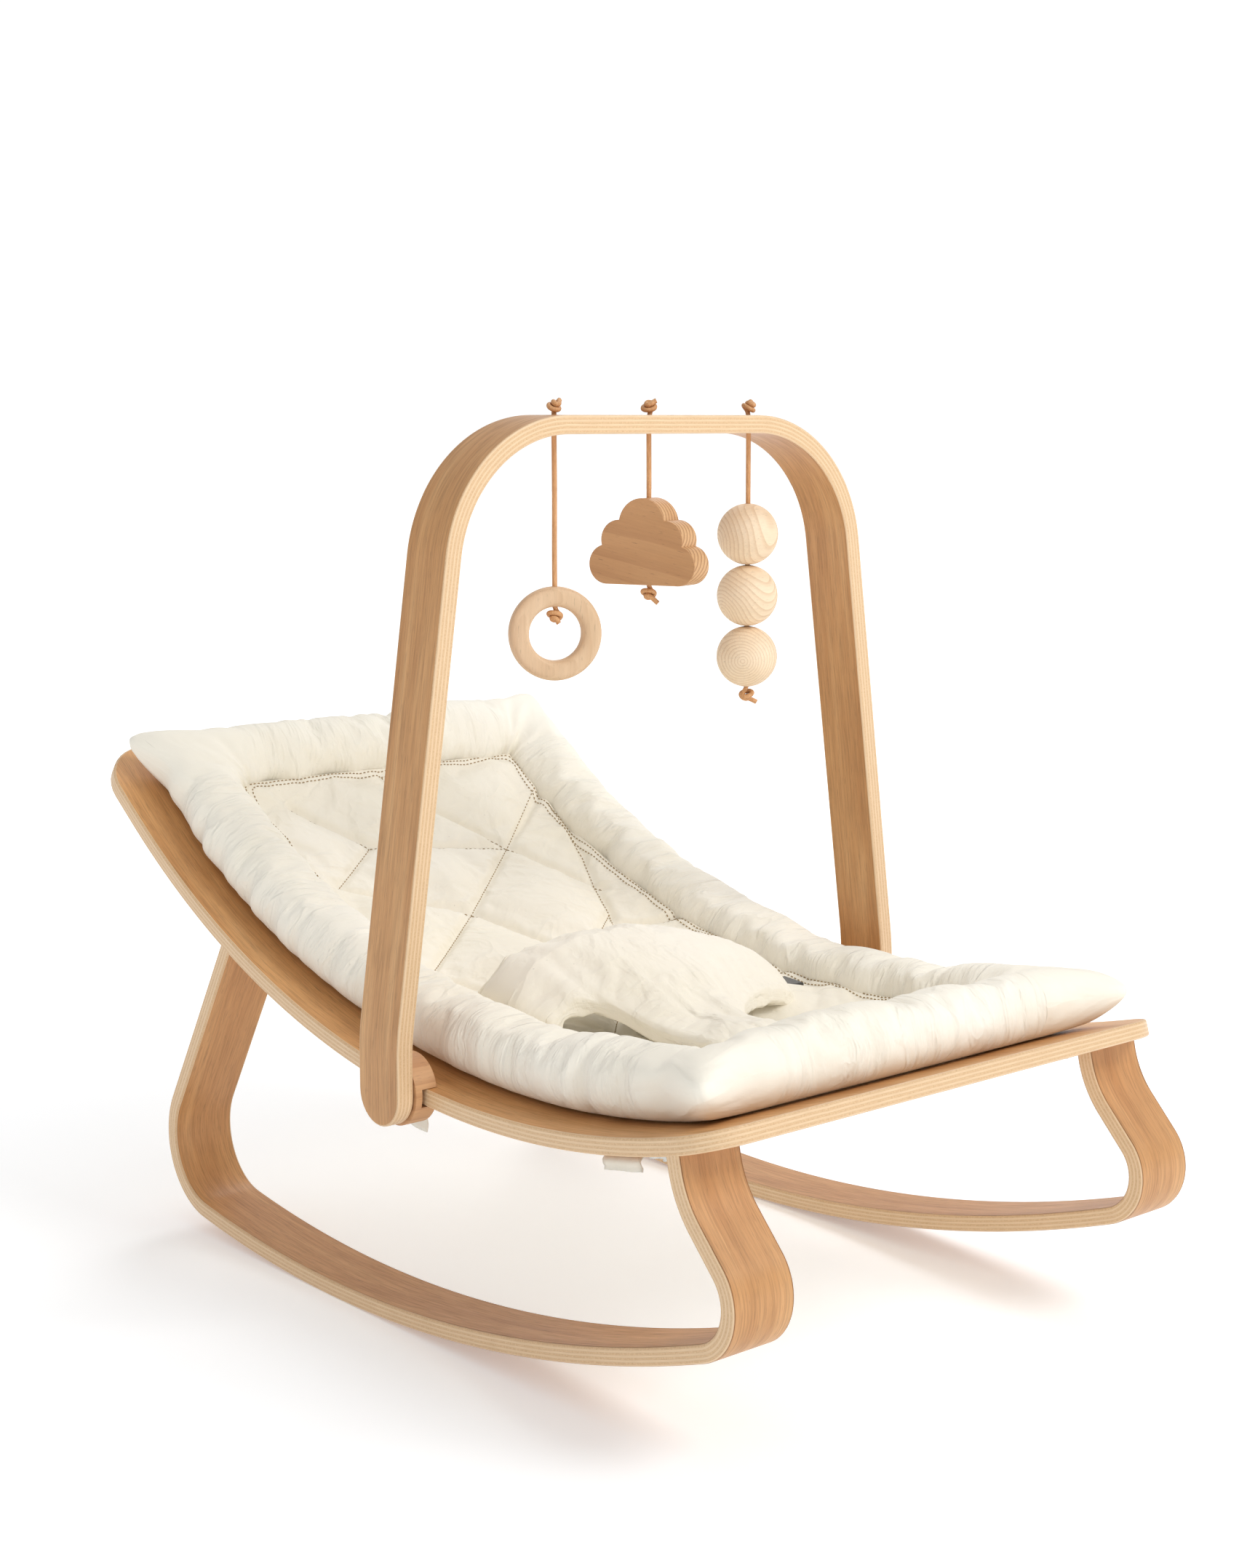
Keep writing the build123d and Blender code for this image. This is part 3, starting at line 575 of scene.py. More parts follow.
for i in range(17):
    a = math.radians(180 * i / 16)
    outline.append((hw + hw * math.cos(a), AL - hw + hw * math.sin(a)))
holes = []
for x in (-78.5, 1.5, 91.5):
    s0 = AL / 2 - x
    holes.append([(hw + 2.1 * math.cos(2 * math.pi * i / 20), s0 + 2.1 * math.sin(2 * math.pi * i / 20)) for i in range(20)])
c1 = low_len + END + ALOW * la
c2 = c1 + leg_len
c3 = c2 + AR * math.radians(81.95)
cuts = sorted(set(np.round(np.concatenate([np.arange(24, c1, 4), np.arange(c1, c2, 14), np.arange(c2, c3, 4.0), np.arange(c3, AL - c3, 14),
                                 np.arange(AL - c3, AL - c2, 4.0), np.arange(AL - c2, AL - c1, 14), np.arange(AL - c1, AL - 24, 4)]), 2)))
me = flat_slab("arch", [outline] + holes, 12.0, 1.4, cut_y=cuts, cut_x=[6, 14, 20.95, 28, 36])
def amap(x, y, z):
    u, v = arc.at(y, 12.0 - z)
    return np.stack([u, ARCH_Y - hw + x + DY, v], -1) * MM
bend(me, amap)
arch = new_obj("arch_wood", me, "arch", [M_ARCH])
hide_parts("arch_strip")
smooth_by_angle(arch, 50)

for n, mt, sl in (("clamp_block_left", M_BLOCK, None), ("clamp_block_right", M_BLOCK, None), ("pivot_washers", M_NYLON, None),
              ("pivot_screws", M_ZINC, None), ("leg_brackets", M_ZINC, None), ("bracket_screws", M_ZINC, None)):
    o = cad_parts[n]
    for i in range(max(1, len(o.material_slots))):
        if o.material_slots:
            o.material_slots[i].material = mt

# ------------------------------------------------------------------ toys
def lathe(name, prof, n, body, mats, center, rot=(0, 0, 0), closed=True):
    """prof = list of (r, z) mm, turned about the local Z"""
    bm = bmesh.new()
    rings = []
    for r, z in prof:
        rings.append([bm.verts.new((r * math.cos(2 * math.pi * i / n) * MM, r * math.sin(2 * math.pi * i / n) * MM, z * MM)) for i in range(n)])
    m = len(prof)
    for j in range(m if closed else m - 1):
        a, b = rings[j], rings[(j + 1) % m]
        for i in range(n):
            bm.faces.new((a[i], a[(i + 1) % n], b[(i + 1) % n], b[i]))
    bmesh.ops.recalc_face_normals(bm, faces=bm.faces)
    for f in bm.faces:
        f.smooth = True
    me = bpy.data.meshes.new(name); bm.to_mesh(me); bm.free()
    me.transform(Matrix.Translation(Vector(center) * MM) @ Matrix.Rotation(rot[2], 4, "Z") @ Matrix.Rotation(rot[0], 4, "X"))
    me.update()
    return new_obj(name, me, body, mats)


RC = (-78.5, ARCH_Y + DY, 441.5)
prof = []
hw_r, hw_z = (60.5 - 34.5) / 4, 6.0
rc = (60.5 + 34.5) / 4
for i in range(40):
    a = 2 * math.pi * i / 40
    c, s_ = math.cos(a), math.sin(a)
    p = 3.2
    q = (abs(c) ** p + abs(s_) ** p) ** (-1 / p)
    prof.append((rc + hw_r * c * q, hw_z * s_ * q))
M_RING = solid_wood("ring_beech", srgb(226, 196, 162), srgb(214, 181, 144), srgb(186, 146, 106),
                    center=tuple(v * MM for v in RC), tilt=(0.05, 0.03, math.radians(-28)), rings=300, contrast=0.55,
                    centre_far=(0.02, 0.13, 0))
ring = lathe("ring_wood", prof, 96, "ring_body", [M_RING], RC, (math.radians(90), 0, math.radians(-28)))
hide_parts("toy_ring")

BZ = (499.8, 457.9, 416.0)
tl = [(1.50, 0.0, -1.42), (1.60, 0.0, -1.52), (1.64, 0.0, -0.66)]
fr = [(0.012, 0.004, 0), (0.004, 0.010, 0), (0.003, -0.002, 0)]
for i, z in enumerate(BZ):
    prof = []
    a0 = math.asin(2.6 / 20.85)
    for j in range(41):
        a = a0 + (math.pi - 2 * a0) * j / 40
        prof.append((20.85 * math.sin(a), 20.85 * math.cos(a)))
    prof.append((2.0, -19.9)); prof.append((2.0, 19.9))
    c = (91.5, ARCH_Y + DY, z)
    mb = solid_wood("bead_beech_%d" % i, srgb(247, 227, 199), srgb(241, 217, 185), srgb(204, 166, 124),
                    center=tuple(v * MM for v in c), tilt=tl[i], rings=(330, 400, 520)[i], contrast=1.15, centre_far=fr[i])
    b = lathe("bead_wood_%d" % (i + 1), prof, 72, "bead_%d_body" % (i + 1), [mb], c)
    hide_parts("bead_%d" % (i + 1))

CW, CH, CT = 80.0, 57.0, 20.0
lobes = [(0, 39.6, 17.4), (-17.6, 29.4, 13.2), (17.6, 29.4, 13.2), (-27.0, 13.2, 13.0), (27.0, 13.2, 13.0)]
out = []
for i in range(360):
    a = math.radians(i)
    dx, dz = math.cos(a), math.sin(a)
    ox, oz = 0.0, 16.0
    best = 0
    for cx, cz, r in lobes:
        bx, bz = ox - cx, oz - cz
        B = bx * dx + bz * dz; C = bx * bx + bz * bz - r * r
        D = B * B - C
        if D >= 0:
            best = max(best, -B + math.sqrt(D))
    # flat base, cut by the chord between the lower lobes
    if dz < 0:
        tb = (0.2 - oz) / dz
        if abs(ox + tb * dx) < 27.0:
            best = tb
    out.append((ox + best * dx, oz + best * dz))
keep = []
for p in out:
    if not keep or (p[0] - keep[-1][0]) ** 2 + (p[1] - keep[-1][1]) ** 2 > 0.16:
        keep.append(p)
me = flat_slab("cloud", [keep], CT, 0.7, res=2)
co = get_co(me)
ang = math.radians(-70.8)
CC = (1.5, ARCH_Y + DY, 469.3)
X = co[:, 0]; Z = co[:, 1]; T = co[:, 2] - CT / 2
set_co(me, np.stack([CC[0] + X * math.cos(ang) - T * math.sin(ang), CC[1] + X * math.sin(ang) + T * math.cos(ang), CC[2] + Z], -1) * MM)
M_CLOUD = solid_wood("cloud_beech", srgb(205, 158, 112), srgb(194, 146, 100), srgb(160, 110, 70),
                     center=(CC[0] * MM, CC[1] * MM, (CC[2] + 25) * MM), tilt=(math.radians(-78), 0, math.radians(-70.8 + 90)), rings=150, contrast=0.75,
                     centre_far=(0.09, 0.03, 0), fleck=1.5)
# the rim faces get their own beech: the end-grain stripes are real wood, the lighter base colour is painted light that
# makes the rim read as lit
M_CLOUD_RIM_GRAIN_AND_PAINTED_LIGHT = solid_wood("cloud_beech_end_grain_painted_light", srgb(228, 186, 138), srgb(216, 170, 120), srgb(150, 100, 60),
                         center=(CC[0] * MM, CC[1] * MM, (CC[2] + 25) * MM), tilt=(0, math.radians(90), math.radians(-70.8)), rings=270, contrast=1.9,
                         centre_far=(0.03, 0.05, 0), fleck=1.0)
cloud = new_obj("cloud_wood_toy", me, "cloud_body", [M_CLOUD, M_CLOUD_RIM_GRAIN_AND_PAINTED_LIGHT])
bm = bmesh.new(); bm.from_mesh(me); bmesh.ops.recalc_face_normals(bm, faces=bm.faces)
ctn = Vector((-math.sin(ang), math.cos(ang), 0))
# faces across the thickness keep material 0, the rim faces take the lighter material with painted light
for f in bm.faces:
    f.material_index = 0 if abs(f.normal.dot(ctn)) > 0.6 else 1
bm.to_mesh(me); bm.free()
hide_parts("toy_cloud")
smooth_by_angle(cloud, 28)


def tube_curve(name, pts, r, body, mat, kind="NURBS", cyclic=False, order=4):
    cu = bpy.data.curves.new(name, "CURVE"); cu.dimensions = "3D"
    sp = cu.splines.new(kind)
    sp.points.add(len(pts) - 1)
    for p, q in zip(sp.points, pts):
        p.co = (q[0] * MM, q[1] * MM, q[2] * MM, 1)
    if kind == "NURBS":
        sp.order_u = order; sp.use_endpoint_u = True
    cu.bevel_depth = r * MM; cu.bevel_resolution = 5; cu.resolution_u = 12; cu.use_fill_caps = True
    cu.materials.append(mat)
    o = bpy.data.objects.new(name, cu); COL.objects.link(o)
    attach(o, body)
    return o


def knot(name, x, y, z, body, up, turn, drop, tail=(7.0, 2.0, 3.0)):
    """A tight overhand knot: the lace comes in at drop, wraps round itself and leaves a tail."""
    f = 1 if up else -1
    pts = [(0, 0, drop), (0.2, 0, -4.2), (1.2, 0.6, -1.6), (3.6, 1.9, 0.6), (1.6, 3.6, 2.4), (-2.8, 2.6, 1.2), (-4.6, -0.4, -0.8),
           (-2.2, -3.2, -1.6), (2.2, -2.9, -1.0), (4.4, -0.6, 0.6), (2.6, 1.0, 3.2), (-0.6, 0.2, 4.0), (-2.6, -1.6, 2.4), (-1.2, -3.6, 1.6),
           (1.6, -3.4, 3.0), (tail[0] * 0.55, -tail[1], 3.6 + tail[2] * 0.4), (tail[0], -tail[1] * 1.2, 4.2 + tail[2])]
    c, s_ = math.cos(turn), math.sin(turn)
    P = [(x + a * c - b * s_, y + a * s_ + b * c, z + f * h) for a, b, h in pts]
    o = tube_curve(name, P, 1.62, body, M_LACE)
    return o


TOPZ = 584.6
YA = ARCH_Y + DY
kt = [knot("knot_top_ring", -78.5, YA, TOPZ, "arch", True, 0.4, -16.0, (4.5, 1.5, 0.5)),
      knot("knot_top_cloud", 1.5, YA, TOPZ, "arch", True, -0.5, -16.0, (4.5, 1.5, 0.5)),
      knot("knot_top_bead", 91.5, YA, TOPZ, "arch", True, 1.0, -16.0, (3.0, 1.5, 0.5))]
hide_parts("top_knots")
EXIT = 568.3
for nm, x, zk, body, nodes, tl_ in (("ring", -78.5, 458.75 - 5.0, "ring_line", ("ring_lace_top", "ring_lace"), (2.5, 1.5, 1.5)),
                               ("cloud", 1.5, 469.3 - 5.0, "cloud_line", ("cloud_lace_top", "cloud_lace"), (6.0, 1.5, 3.0)),
                               ("bead", 91.5, 416.0 - 20.85 - 4.8, "bead_line", ("bead_lace_top", "bead_lace"), (-7.0, 2.0, 2.0))):
    k_ = knot(nm + "_knot_low", x, YA, zk, body, False, -0.6 if nm != "bead" else 2.4, -5.5, tl_)
    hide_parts(nm + "_knot")
    zb = zk + 4.6
    L = EXIT - zb
    pts = [(x, YA, EXIT), (x + 0.05, YA, EXIT - 10), (x + 0.5, YA + 0.3, EXIT - 0.35 * L), (x - 0.4, YA - 0.3, EXIT - 0.7 * L),
           (x + 0.05, YA, zb + 8), (x, YA, zb)]
    cu = bpy.data.curves.new(nm + "_cord", "CURVE"); cu.dimensions = "3D"
    sp = cu.splines.new("NURBS"); sp.points.add(len(pts) - 1)
    for p, q in zip(sp.points, pts):
        p.co = (q[0] * MM, q[1] * MM, q[2] * MM, 1)
    sp.order_u = 3; sp.use_endpoint_u = True
    cu.bevel_depth = 1.65 * MM; cu.bevel_resolution = 5; cu.resolution_u = 16; cu.use_fill_caps = True
    cu.materials.append(M_LACE)
    c_ = bpy.data.objects.new(nm + "_cord", cu); COL.objects.link(c_)
    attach(c_, body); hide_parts(*nodes)

# ------------------------------------------------------------------ cushion
S_OUT0, S_OUT1 = 23.5, ARC_LEN + 46.0         # foot and head ends of the border roll
X_IN = 127.0
S_IN0, S_IN1 = 76.0, 647.0                    # inner seam
def loop_pts(hx, s0, s1, r, step):
    """points, outward directions and corner weights of a rounded rectangle in (x, s)"""
    segs = []
    c = [((hx - r, s0 + r), -90), ((hx - r, s1 - r), 0), ((-hx + r, s1 - r), 90), ((-hx + r, s0 + r), 180)]
    pts, dirs, cor = [], [], []
    for i, ((cx, cy), a0) in enumerate(c):
        nx, ny = c[(i + 1) % 4][0]
        na = 17
        for j in range(na):
            a = math.radians(a0 + 90 * (j + 0.5) / na)
            pts.append((cx + r * math.cos(a), cy + r * math.sin(a))); dirs.append((math.cos(a), math.sin(a)))
            cor.append(math.sin(math.pi * (j + 0.5) / na))
        a = math.radians(a0 + 90)
        p0 = (cx + r * math.cos(a), cy + r * math.sin(a)); p1 = (nx + r * math.cos(a), ny + r * math.sin(a))
        ln = math.hypot(p1[0] - p0[0], p1[1] - p0[1]); n = max(2, int(ln / step))
        for j in range(n + 1):
            t = j / n
            pts.append((p0[0] + (p1[0] - p0[0]) * t, p0[1] + (p1[1] - p0[1]) * t)); dirs.append((math.cos(a), math.sin(a))); cor.append(0.0)
    return np.array(pts), np.array(dirs), np.array(cor)


P, D, K = loop_pts(X_IN, S_IN0, S_IN1, 9.0, 4.2)
NL, NS = len(P), 34
run_len = np.concatenate([[0], np.cumsum(np.hypot(*(P[1:] - P[:-1]).T))])
phi = 2 * math.pi * np.arange(NS) / NS
# section of the roll in (outward o, height h): flat where it lies on the panel
RW, RH = 51.0, 44.0
cs_, sn_ = np.cos(phi), np.sin(phi)
o_ = RW / 2 + RW / 2 * np.sign(cs_) * np.abs(cs_) ** 0.92
h_ = RH / 2 + RH / 2 * np.sign(sn_) * np.abs(sn_) ** 0.92
h_ = np.where(h_ < 5, 0.6 + (h_ - 0) * 0.88, h_)
rng = np.random.default_rng(3)
def smooth_noise(n, k, rng):
    a = rng.normal(size=n); f = np.fft.rfft(a); q = np.arange(len(f)); f *= np.exp(-(q / k) ** 2)
    b = np.fft.irfft(f, n); return b / (b.std() + 1e-9)
fat = smooth_noise(NL, 10, rng) * 0.02
pos = np.zeros((NL, NS, 3)); gr = np.zeros((NL, NS, 3))
wr1 = smooth_noise(NL, 60, rng); wr2 = smooth_noise(NL, 110, rng); wr3 = smooth_noise(NL, 35, rng)
for i in range(NL):
    s_here = P[i, 1]
    sc = 1.0 + fat[i]
    corner = K[i]
    q_ = o_ / RW
    mi = max(abs(D[i, 0]), abs(D[i, 1]))                        # square, mitred corners
    al = math.degrees(math.acos(min(1.0, mi)))
    ear = math.exp(-((45.0 - al) / 11.0) ** 2) if corner > 0 else 0.0
    o = q_ * sc * ((9.0 + RW) / mi - 9.0 + 13.0 * ear) if corner > 0 else o_ * sc
    h = h_ * sc * (1 - 0.34 * ear * q_ ** 2.5) + 7.0 * ear * q_ ** 3
    # gathers: deepest near the inner seam and near the panel, running across the roll
    inner = np.exp(-((phi - math.pi * 0.98) / 0.75) ** 2)
    low = np.exp(-((phi - 2 * math.pi * 0.99) / 0.6) ** 2) + np.exp(-((phi + 0.06) / 0.6) ** 2)
    top_ = np.exp(-((phi - math.pi / 2) / 0.8) ** 2)
    amp = 1.8 * inner * wr1[i] + 1.4 * low * wr2[i] + 0.8 * top_ * wr3[i] + min(corner, 0.6) * 0.9 * wr2[i]
    oc, hc = RW / 2, RH / 2
    rr = np.hypot(o - oc, h - hc) + 1e-6
    o = o + (o - oc) / rr * amp; h = h + (h - hc) / rr * amp * (h > 4)
    x = P[i, 0] + D[i, 0] * o; s = P[i, 1] + D[i, 1] * o
    pos[i] = seat_pt(s, x, PLY + np.maximum(h, 0.5))
    gr[i, :, 0] = abs(run_len[i] - run_len[-1] / 2) * MM; gr[i, :, 1] = np.abs(phi - math.pi) * 24.5 * MM
faces = []
for i in range(NL):
    for j in range(NS):
        a, b = i, (i + 1) % NL
        faces.append((a * NS + j, b * NS + j, b * NS + (j + 1) % NS, a * NS + (j + 1) % NS))
me = bpy.data.meshes.new("roll"); me.from_pydata(pos.reshape(-1, 3).tolist(), [], faces)
set_attr(me, "grain", gr.reshape(-1, 3))
bm = bmesh.new(); bm.from_mesh(me); bmesh.ops.recalc_face_normals(bm, faces=bm.faces)
for f in bm.faces: f.smooth = True
bm.to_mesh(me); bm.free()
roll = new_obj("cushion_roll_cloth", me, None, [M_COTTON])

# quilt: top and bottom cloth with sewn lines between
QL = [[(136, 197), (66, 151), (-18, 86), (-108, 17)],
      [(134, 180), (116, 123), (89, 58), (80, 42), (133, 21)],
      [(66, 151), (106, 85)], [(-18, 86), (21, 10)], [(89, 58), (25, 8)],
      [(-90, 212), (-48, 170), (-105, 131)], [(-48, 170), (66, 151)], [(-105, 131), (-18, 86)],
      [(-108, 17), (-60, -60), (20, -130), (110, -200)], [(80, 42), (20, -40), (-60, -120), (-118, -180)],
      [(20, -130), (-30, -200), (-60, -262)], [(20, -130), (60, -190), (50, -262)], [(-60, -60), (-126, -95)], [(20, -40), (126, -90)],
      [(0, 227), (66, 151)]]
QLS = [[(x, seat_s(y, PLY + 16)) for x, y in l] for l in QL]
def seg_dist(px, py, a, b):
    ax, ay = a; bx, by = b
    dx, dy = bx - ax, by - ay
    t = np.clip(((px - ax) * dx + (py - ay) * dy) / (dx * dx + dy * dy), 0, 1)
    return np.hypot(px - ax - t * dx, py - ay - t * dy)


nx, ns = 82, 186
gx = np.linspace(-X_IN - 1.6, X_IN + 1.6, nx); gs = np.linspace(S_IN0 - 1.6, S_IN1 + 1.6, ns)
XX, SS = np.meshgrid(gx, gs, indexing="ij")
dl = np.full(XX.shape, 1e9)
for l in QLS:
    for a, b in zip(l[:-1], l[1:]):
        dl = np.minimum(dl, seg_dist(XX, SS, a, b))
de = np.maximum(np.minimum(np.minimum(X_IN - np.abs(XX), SS - S_IN0), S_IN1 - SS), 0.0)
dip = np.exp(-(dl / 3.4) ** 2)
puff = (1 - np.exp(-dl / 16.0))
baseh = 13.0 + 13.5 * np.exp(-de / 13.0)
topz = baseh + 8.5 * puff * (1 - np.exp(-de / 14.0)) - 4.2 * dip - 3.0 * np.exp(-(de / 3.2) ** 2)
botz = -5.0 + 3 * np.exp(-de / 15.0) + 7.0 * np.exp(-de / 4.0)
V, F, G = [], [], []
tp = seat_pt(SS, XX, PLY + topz); bt = seat_pt(SS, XX, PLY + botz)
idx = np.arange(nx * ns).reshape(nx, ns)
V = np.concatenate([tp.reshape(-1, 3), bt.reshape(-1, 3)])
G = np.concatenate([np.stack([XX * MM, SS * MM, 0 * XX], -1).reshape(-1, 3), np.stack([XX * MM, SS * MM, 0 * XX + 0.1], -1).reshape(-1, 3)])
N = nx * ns
for i in range(nx - 1):
    for j in range(ns - 1):
        F.append((idx[i, j], idx[i + 1, j], idx[i + 1, j + 1], idx[i, j + 1]))
        F.append((N + idx[i, j], N + idx[i, j + 1], N + idx[i + 1, j + 1], N + idx[i + 1, j]))
rim = [(i, 0) for i in range(nx)] + [(nx - 1, j) for j in range(1, ns)] + [(i, ns - 1) for i in range(nx - 2, -1, -1)] + [(0, j) for j in range(ns - 2, 0, -1)]
for a, b in zip(rim, rim[1:] + rim[:1]):
    F.append((idx[a], N + idx[a], N + idx[b], idx[b]))
me = bpy.data.meshes.new("quilt"); me.from_pydata(V.tolist(), [], [tuple(int(q) for q in f) for f in F])
set_attr(me, "grain", G)
bm = bmesh.new(); bm.from_mesh(me); bmesh.ops.recalc_face_normals(bm, faces=bm.faces)
for f in bm.faces: f.smooth = True
bm.to_mesh(me); bm.free()
quilt = new_obj("cushion_quilt_cloth", me, None, [M_COTTON2])


def pin_group(ob, wts):
    vg = ob.vertex_groups.new(name="pin")
    for w_ in np.unique(np.round(wts, 2)):
        ids = np.where(np.abs(np.round(wts, 2) - w_) < 1e-6)[0]
        if w_ > 0:
            vg.add([int(i) for i in ids], float(w_), "REPLACE")
    return vg


def cloth(ob, pin, pressure, grow, frames, cap, stiff=6.0, bendk=0.3, blend=None):
    """Blows the closed cloth up a little, with the sewn places held, and applies it."""
    start = get_co(ob.data)
    pin_group(ob, pin)
    md = ob.modifiers.new("cloth", "CLOTH")
    st = md.settings
    st.quality = 5; st.mass = 0.15
    st.tension_stiffness = stiff; st.compression_stiffness = stiff; st.shear_stiffness = stiff * 0.4
    st.bending_stiffness = bendk
    st.use_pressure = True; st.uniform_pressure_force = pressure
    st.vertex_group_mass = "pin"; st.pin_stiffness = 1.0
    st.shrink_min = -grow
    st.effector_weights.gravity = 0.0
    md.collision_settings.use_collision = False
    md.collision_settings.use_self_collision = False
    md.point_cache.frame_start = 1; md.point_cache.frame_end = frames
    sc = bpy.context.scene
    sc.frame_start = 1; sc.frame_end = frames
    for f in range(1, frames + 1):
        sc.frame_set(f)
    dg = bpy.context.evaluated_depsgraph_get()
    ev = ob.evaluated_get(dg)
    co = np.array([v.co[:] for v in ev.data.vertices])
    ob.modifiers.remove(md)
    sc.frame_set(1)
    d = co - start
    ln = np.linalg.norm(d, axis=1, keepdims=True)
    d *= np.minimum(1, cap / np.maximum(ln, 1e-9))
    if blend is not None:
        d *= blend[:, None]
    set_co(ob.data, start + d)
    ob.vertex_groups.clear()


ph = np.tile(phi, NL)
pin = np.where(np.abs(ph - math.pi) < 0.12, 1.0, 0.0)
pin = np.maximum(pin, np.clip((ph - math.pi * 1.10) / (math.pi * 0.10), 0, 1) * np.clip((math.pi * 1.80 - ph) / (math.pi * 0.28), 0, 1) ** 1.5)
pw = np.where(ph > math.pi * 1.5, ph - 2 * math.pi, ph)
bl = np.clip((pw + 0.30 * math.pi) / (0.55 * math.pi), 0, 1) * np.clip((1.06 * math.pi - pw) / (0.34 * math.pi), 0, 1)
bl = bl * bl * (3 - 2 * bl)
cloth(roll, pin, 2.6, 0.045, 16, 0.005, blend=bl)
pq = np.clip(np.exp(-(dl / 2.6) ** 2) * 1.15, 0, 1)
pq = np.where(de < 2.0, 1.0, pq)
pin = np.concatenate([pq.ravel(), np.ones(N)])
cloth(quilt, pin, 2.5, 0.03, 16, 0.007)

# seams across the near roll and on the corners: a shallow groove
def groove(ob, centre_i, width, depth):
    co = get_co(ob.data).reshape(NL, NS, 3)
    axis = seat_pt(P[:, 1] + D[:, 1] * RW / 2, P[:, 0] + D[:, 0] * RW / 2, PLY + RH / 2)
    for i in range(NL):
        dd = min(abs(i - centre_i), NL - abs(i - centre_i)) * 4.2
        g = math.exp(-(dd / width) ** 2) * depth * MM
        if g > 1e-5:
            v = axis[i] - co[i]
            v /= np.linalg.norm(v, axis=1, keepdims=True)
            up_ = (h_ > 3)[:, None]
            co[i] += v * g * up_
    set_co(ob.data, co.reshape(-1, 3))


def loop_index(x, s):
    return int(np.argmin(np.hypot(P[:, 0] - x, P[:, 1] - s)))


gi = [loop_index(-X_IN, seat_s(-225, PLY + 30)), loop_index(X_IN, seat_s(-225, PLY + 30)), loop_index(30, S_IN1)]
for g_ in gi:
    groove(roll, g_, 2.6, 4.2)
for sx in (-1, 1):
    for s_ in (S_IN0, S_IN1):
        groove(roll, loop_index(sx * X_IN, s_), 2.4, 0.8)

for ob in (roll, quilt):
    md = ob.modifiers.new("sub", "SUBSURF"); md.levels = 1; md.render_levels = 1
    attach(ob, "seat")
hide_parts("cushion_roll")
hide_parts("cushion_quilt")


def surf_z(ob, pts_xy_s, lift):
    """points on the cushion seen from above the seat, by ray casting along the seat's normal"""
    from mathutils.bvhtree import BVHTree
    dg = bpy.context.evaluated_depsgraph_get()
    bv = BVHTree.FromObject(ob, dg)
    outp = []
    for x, s in pts_xy_s:
        hi = Vector(seat_pt(s, x, PLY + 90.0)); lo = Vector(seat_pt(s, x, PLY - 20.0))
        dr = (lo - hi).normalized()
        hit, nor, _, _ = bv.ray_cast(hi, dr)
        if hit is not None:
            outp.append((np.array(hit - dr * lift * MM), np.array(nor)))
        else:
            outp.append(None)
    return outp


def stitches(name, path, mat, body, pitch=3.4, ln=2.2, r=0.28, hump=0.25):
    """a run of small thread stitches along path = [(point, normal)] in metres"""
    pts = [p for p in path if p is not None]
    if len(pts) < 2:
        return None
    A = np.array([p[0] for p in pts]); Nn = np.array([p[1] for p in pts])
    sl = np.concatenate([[0], np.cumsum(np.linalg.norm(A[1:] - A[:-1], axis=1))])
    V, F = [], []
    s = 0.0
    def at(q):
        return (np.array([np.interp(q, sl, A[:, k]) for k in range(3)]), np.array([np.interp(q, sl, Nn[:, k]) for k in range(3)]))
    while s + ln * MM < sl[-1]:
        a, na = at(s); b, nb = at(s + ln * MM); m, nm = at(s + ln * MM / 2)
        if np.linalg.norm(b - a) < ln * MM * 1.6:
            t = b - a; t /= np.linalg.norm(t) + 1e-12
            sections = [(a - na * 0.2 * MM, 0.35), (a * 0.75 + b * 0.25 + nm * hump * MM, 1.0), (a * 0.25 + b * 0.75 + nm * hump * MM, 1.0), (b - nb * 0.2 * MM, 0.35)]
            side = np.cross(t, nm); side /= np.linalg.norm(side) + 1e-12
            upv = np.cross(side, t)
            base = len(V)
            for c, k_ in sections:
                for j in range(6):
                    an = 2 * math.pi * j / 6
                    V.append(c + (side * math.cos(an) + upv * math.sin(an)) * r * k_ * MM)
            for q in range(3):
                for j in range(6):
                    F.append((base + q * 6 + j, base + q * 6 + (j + 1) % 6, base + (q + 1) * 6 + (j + 1) % 6, base + (q + 1) * 6 + j))
            F.append(tuple(base + j for j in range(5, -1, -1))); F.append(tuple(base + 18 + j for j in range(6)))
        s += pitch * MM
    if not V:
        return None
    me = bpy.data.meshes.new(name); me.from_pydata([tuple(v) for v in V], [], F)
    for p in me.polygons: p.use_smooth = True
    return new_obj(name, me, body, [mat])


def densify(pl, step=2.0, close=False):
    out = []
    pl = list(pl) + ([pl[0]] if close else [])
    for a, b in zip(pl[:-1], pl[1:]):
        n = max(1, int(math.hypot(b[0] - a[0], b[1] - a[1]) / step))
        for i in range(n):
            out.append((a[0] + (b[0] - a[0]) * i / n, a[1] + (b[1] - a[1]) * i / n))
    out.append(pl[-1])
    return out


for off, nm in ((3.0, "seam_a"), (6.8, "seam_b")):
    lp = rrect(-X_IN + off, X_IN - off, S_IN0 + off, S_IN1 - off, (7, 7, 7, 7), 4)
    o = stitches("stitch_" + nm, surf_z(quilt, densify(lp, 2.0, True), 0.05), M_THREAD, "seat", r=0.42, hump=0.35)
for i, l in enumerate(QLS):
    l2 = [(max(-X_IN + 2, min(X_IN - 2, x)), max(S_IN0 + 2, min(S_IN1 - 2, s))) for x, s in l]
    o = stitches("stitch_q%d" % i, surf_z(quilt, densify(l2, 2.0), 0.05), M_THREAD, "seat", pitch=3.8, ln=2.6, r=0.34)

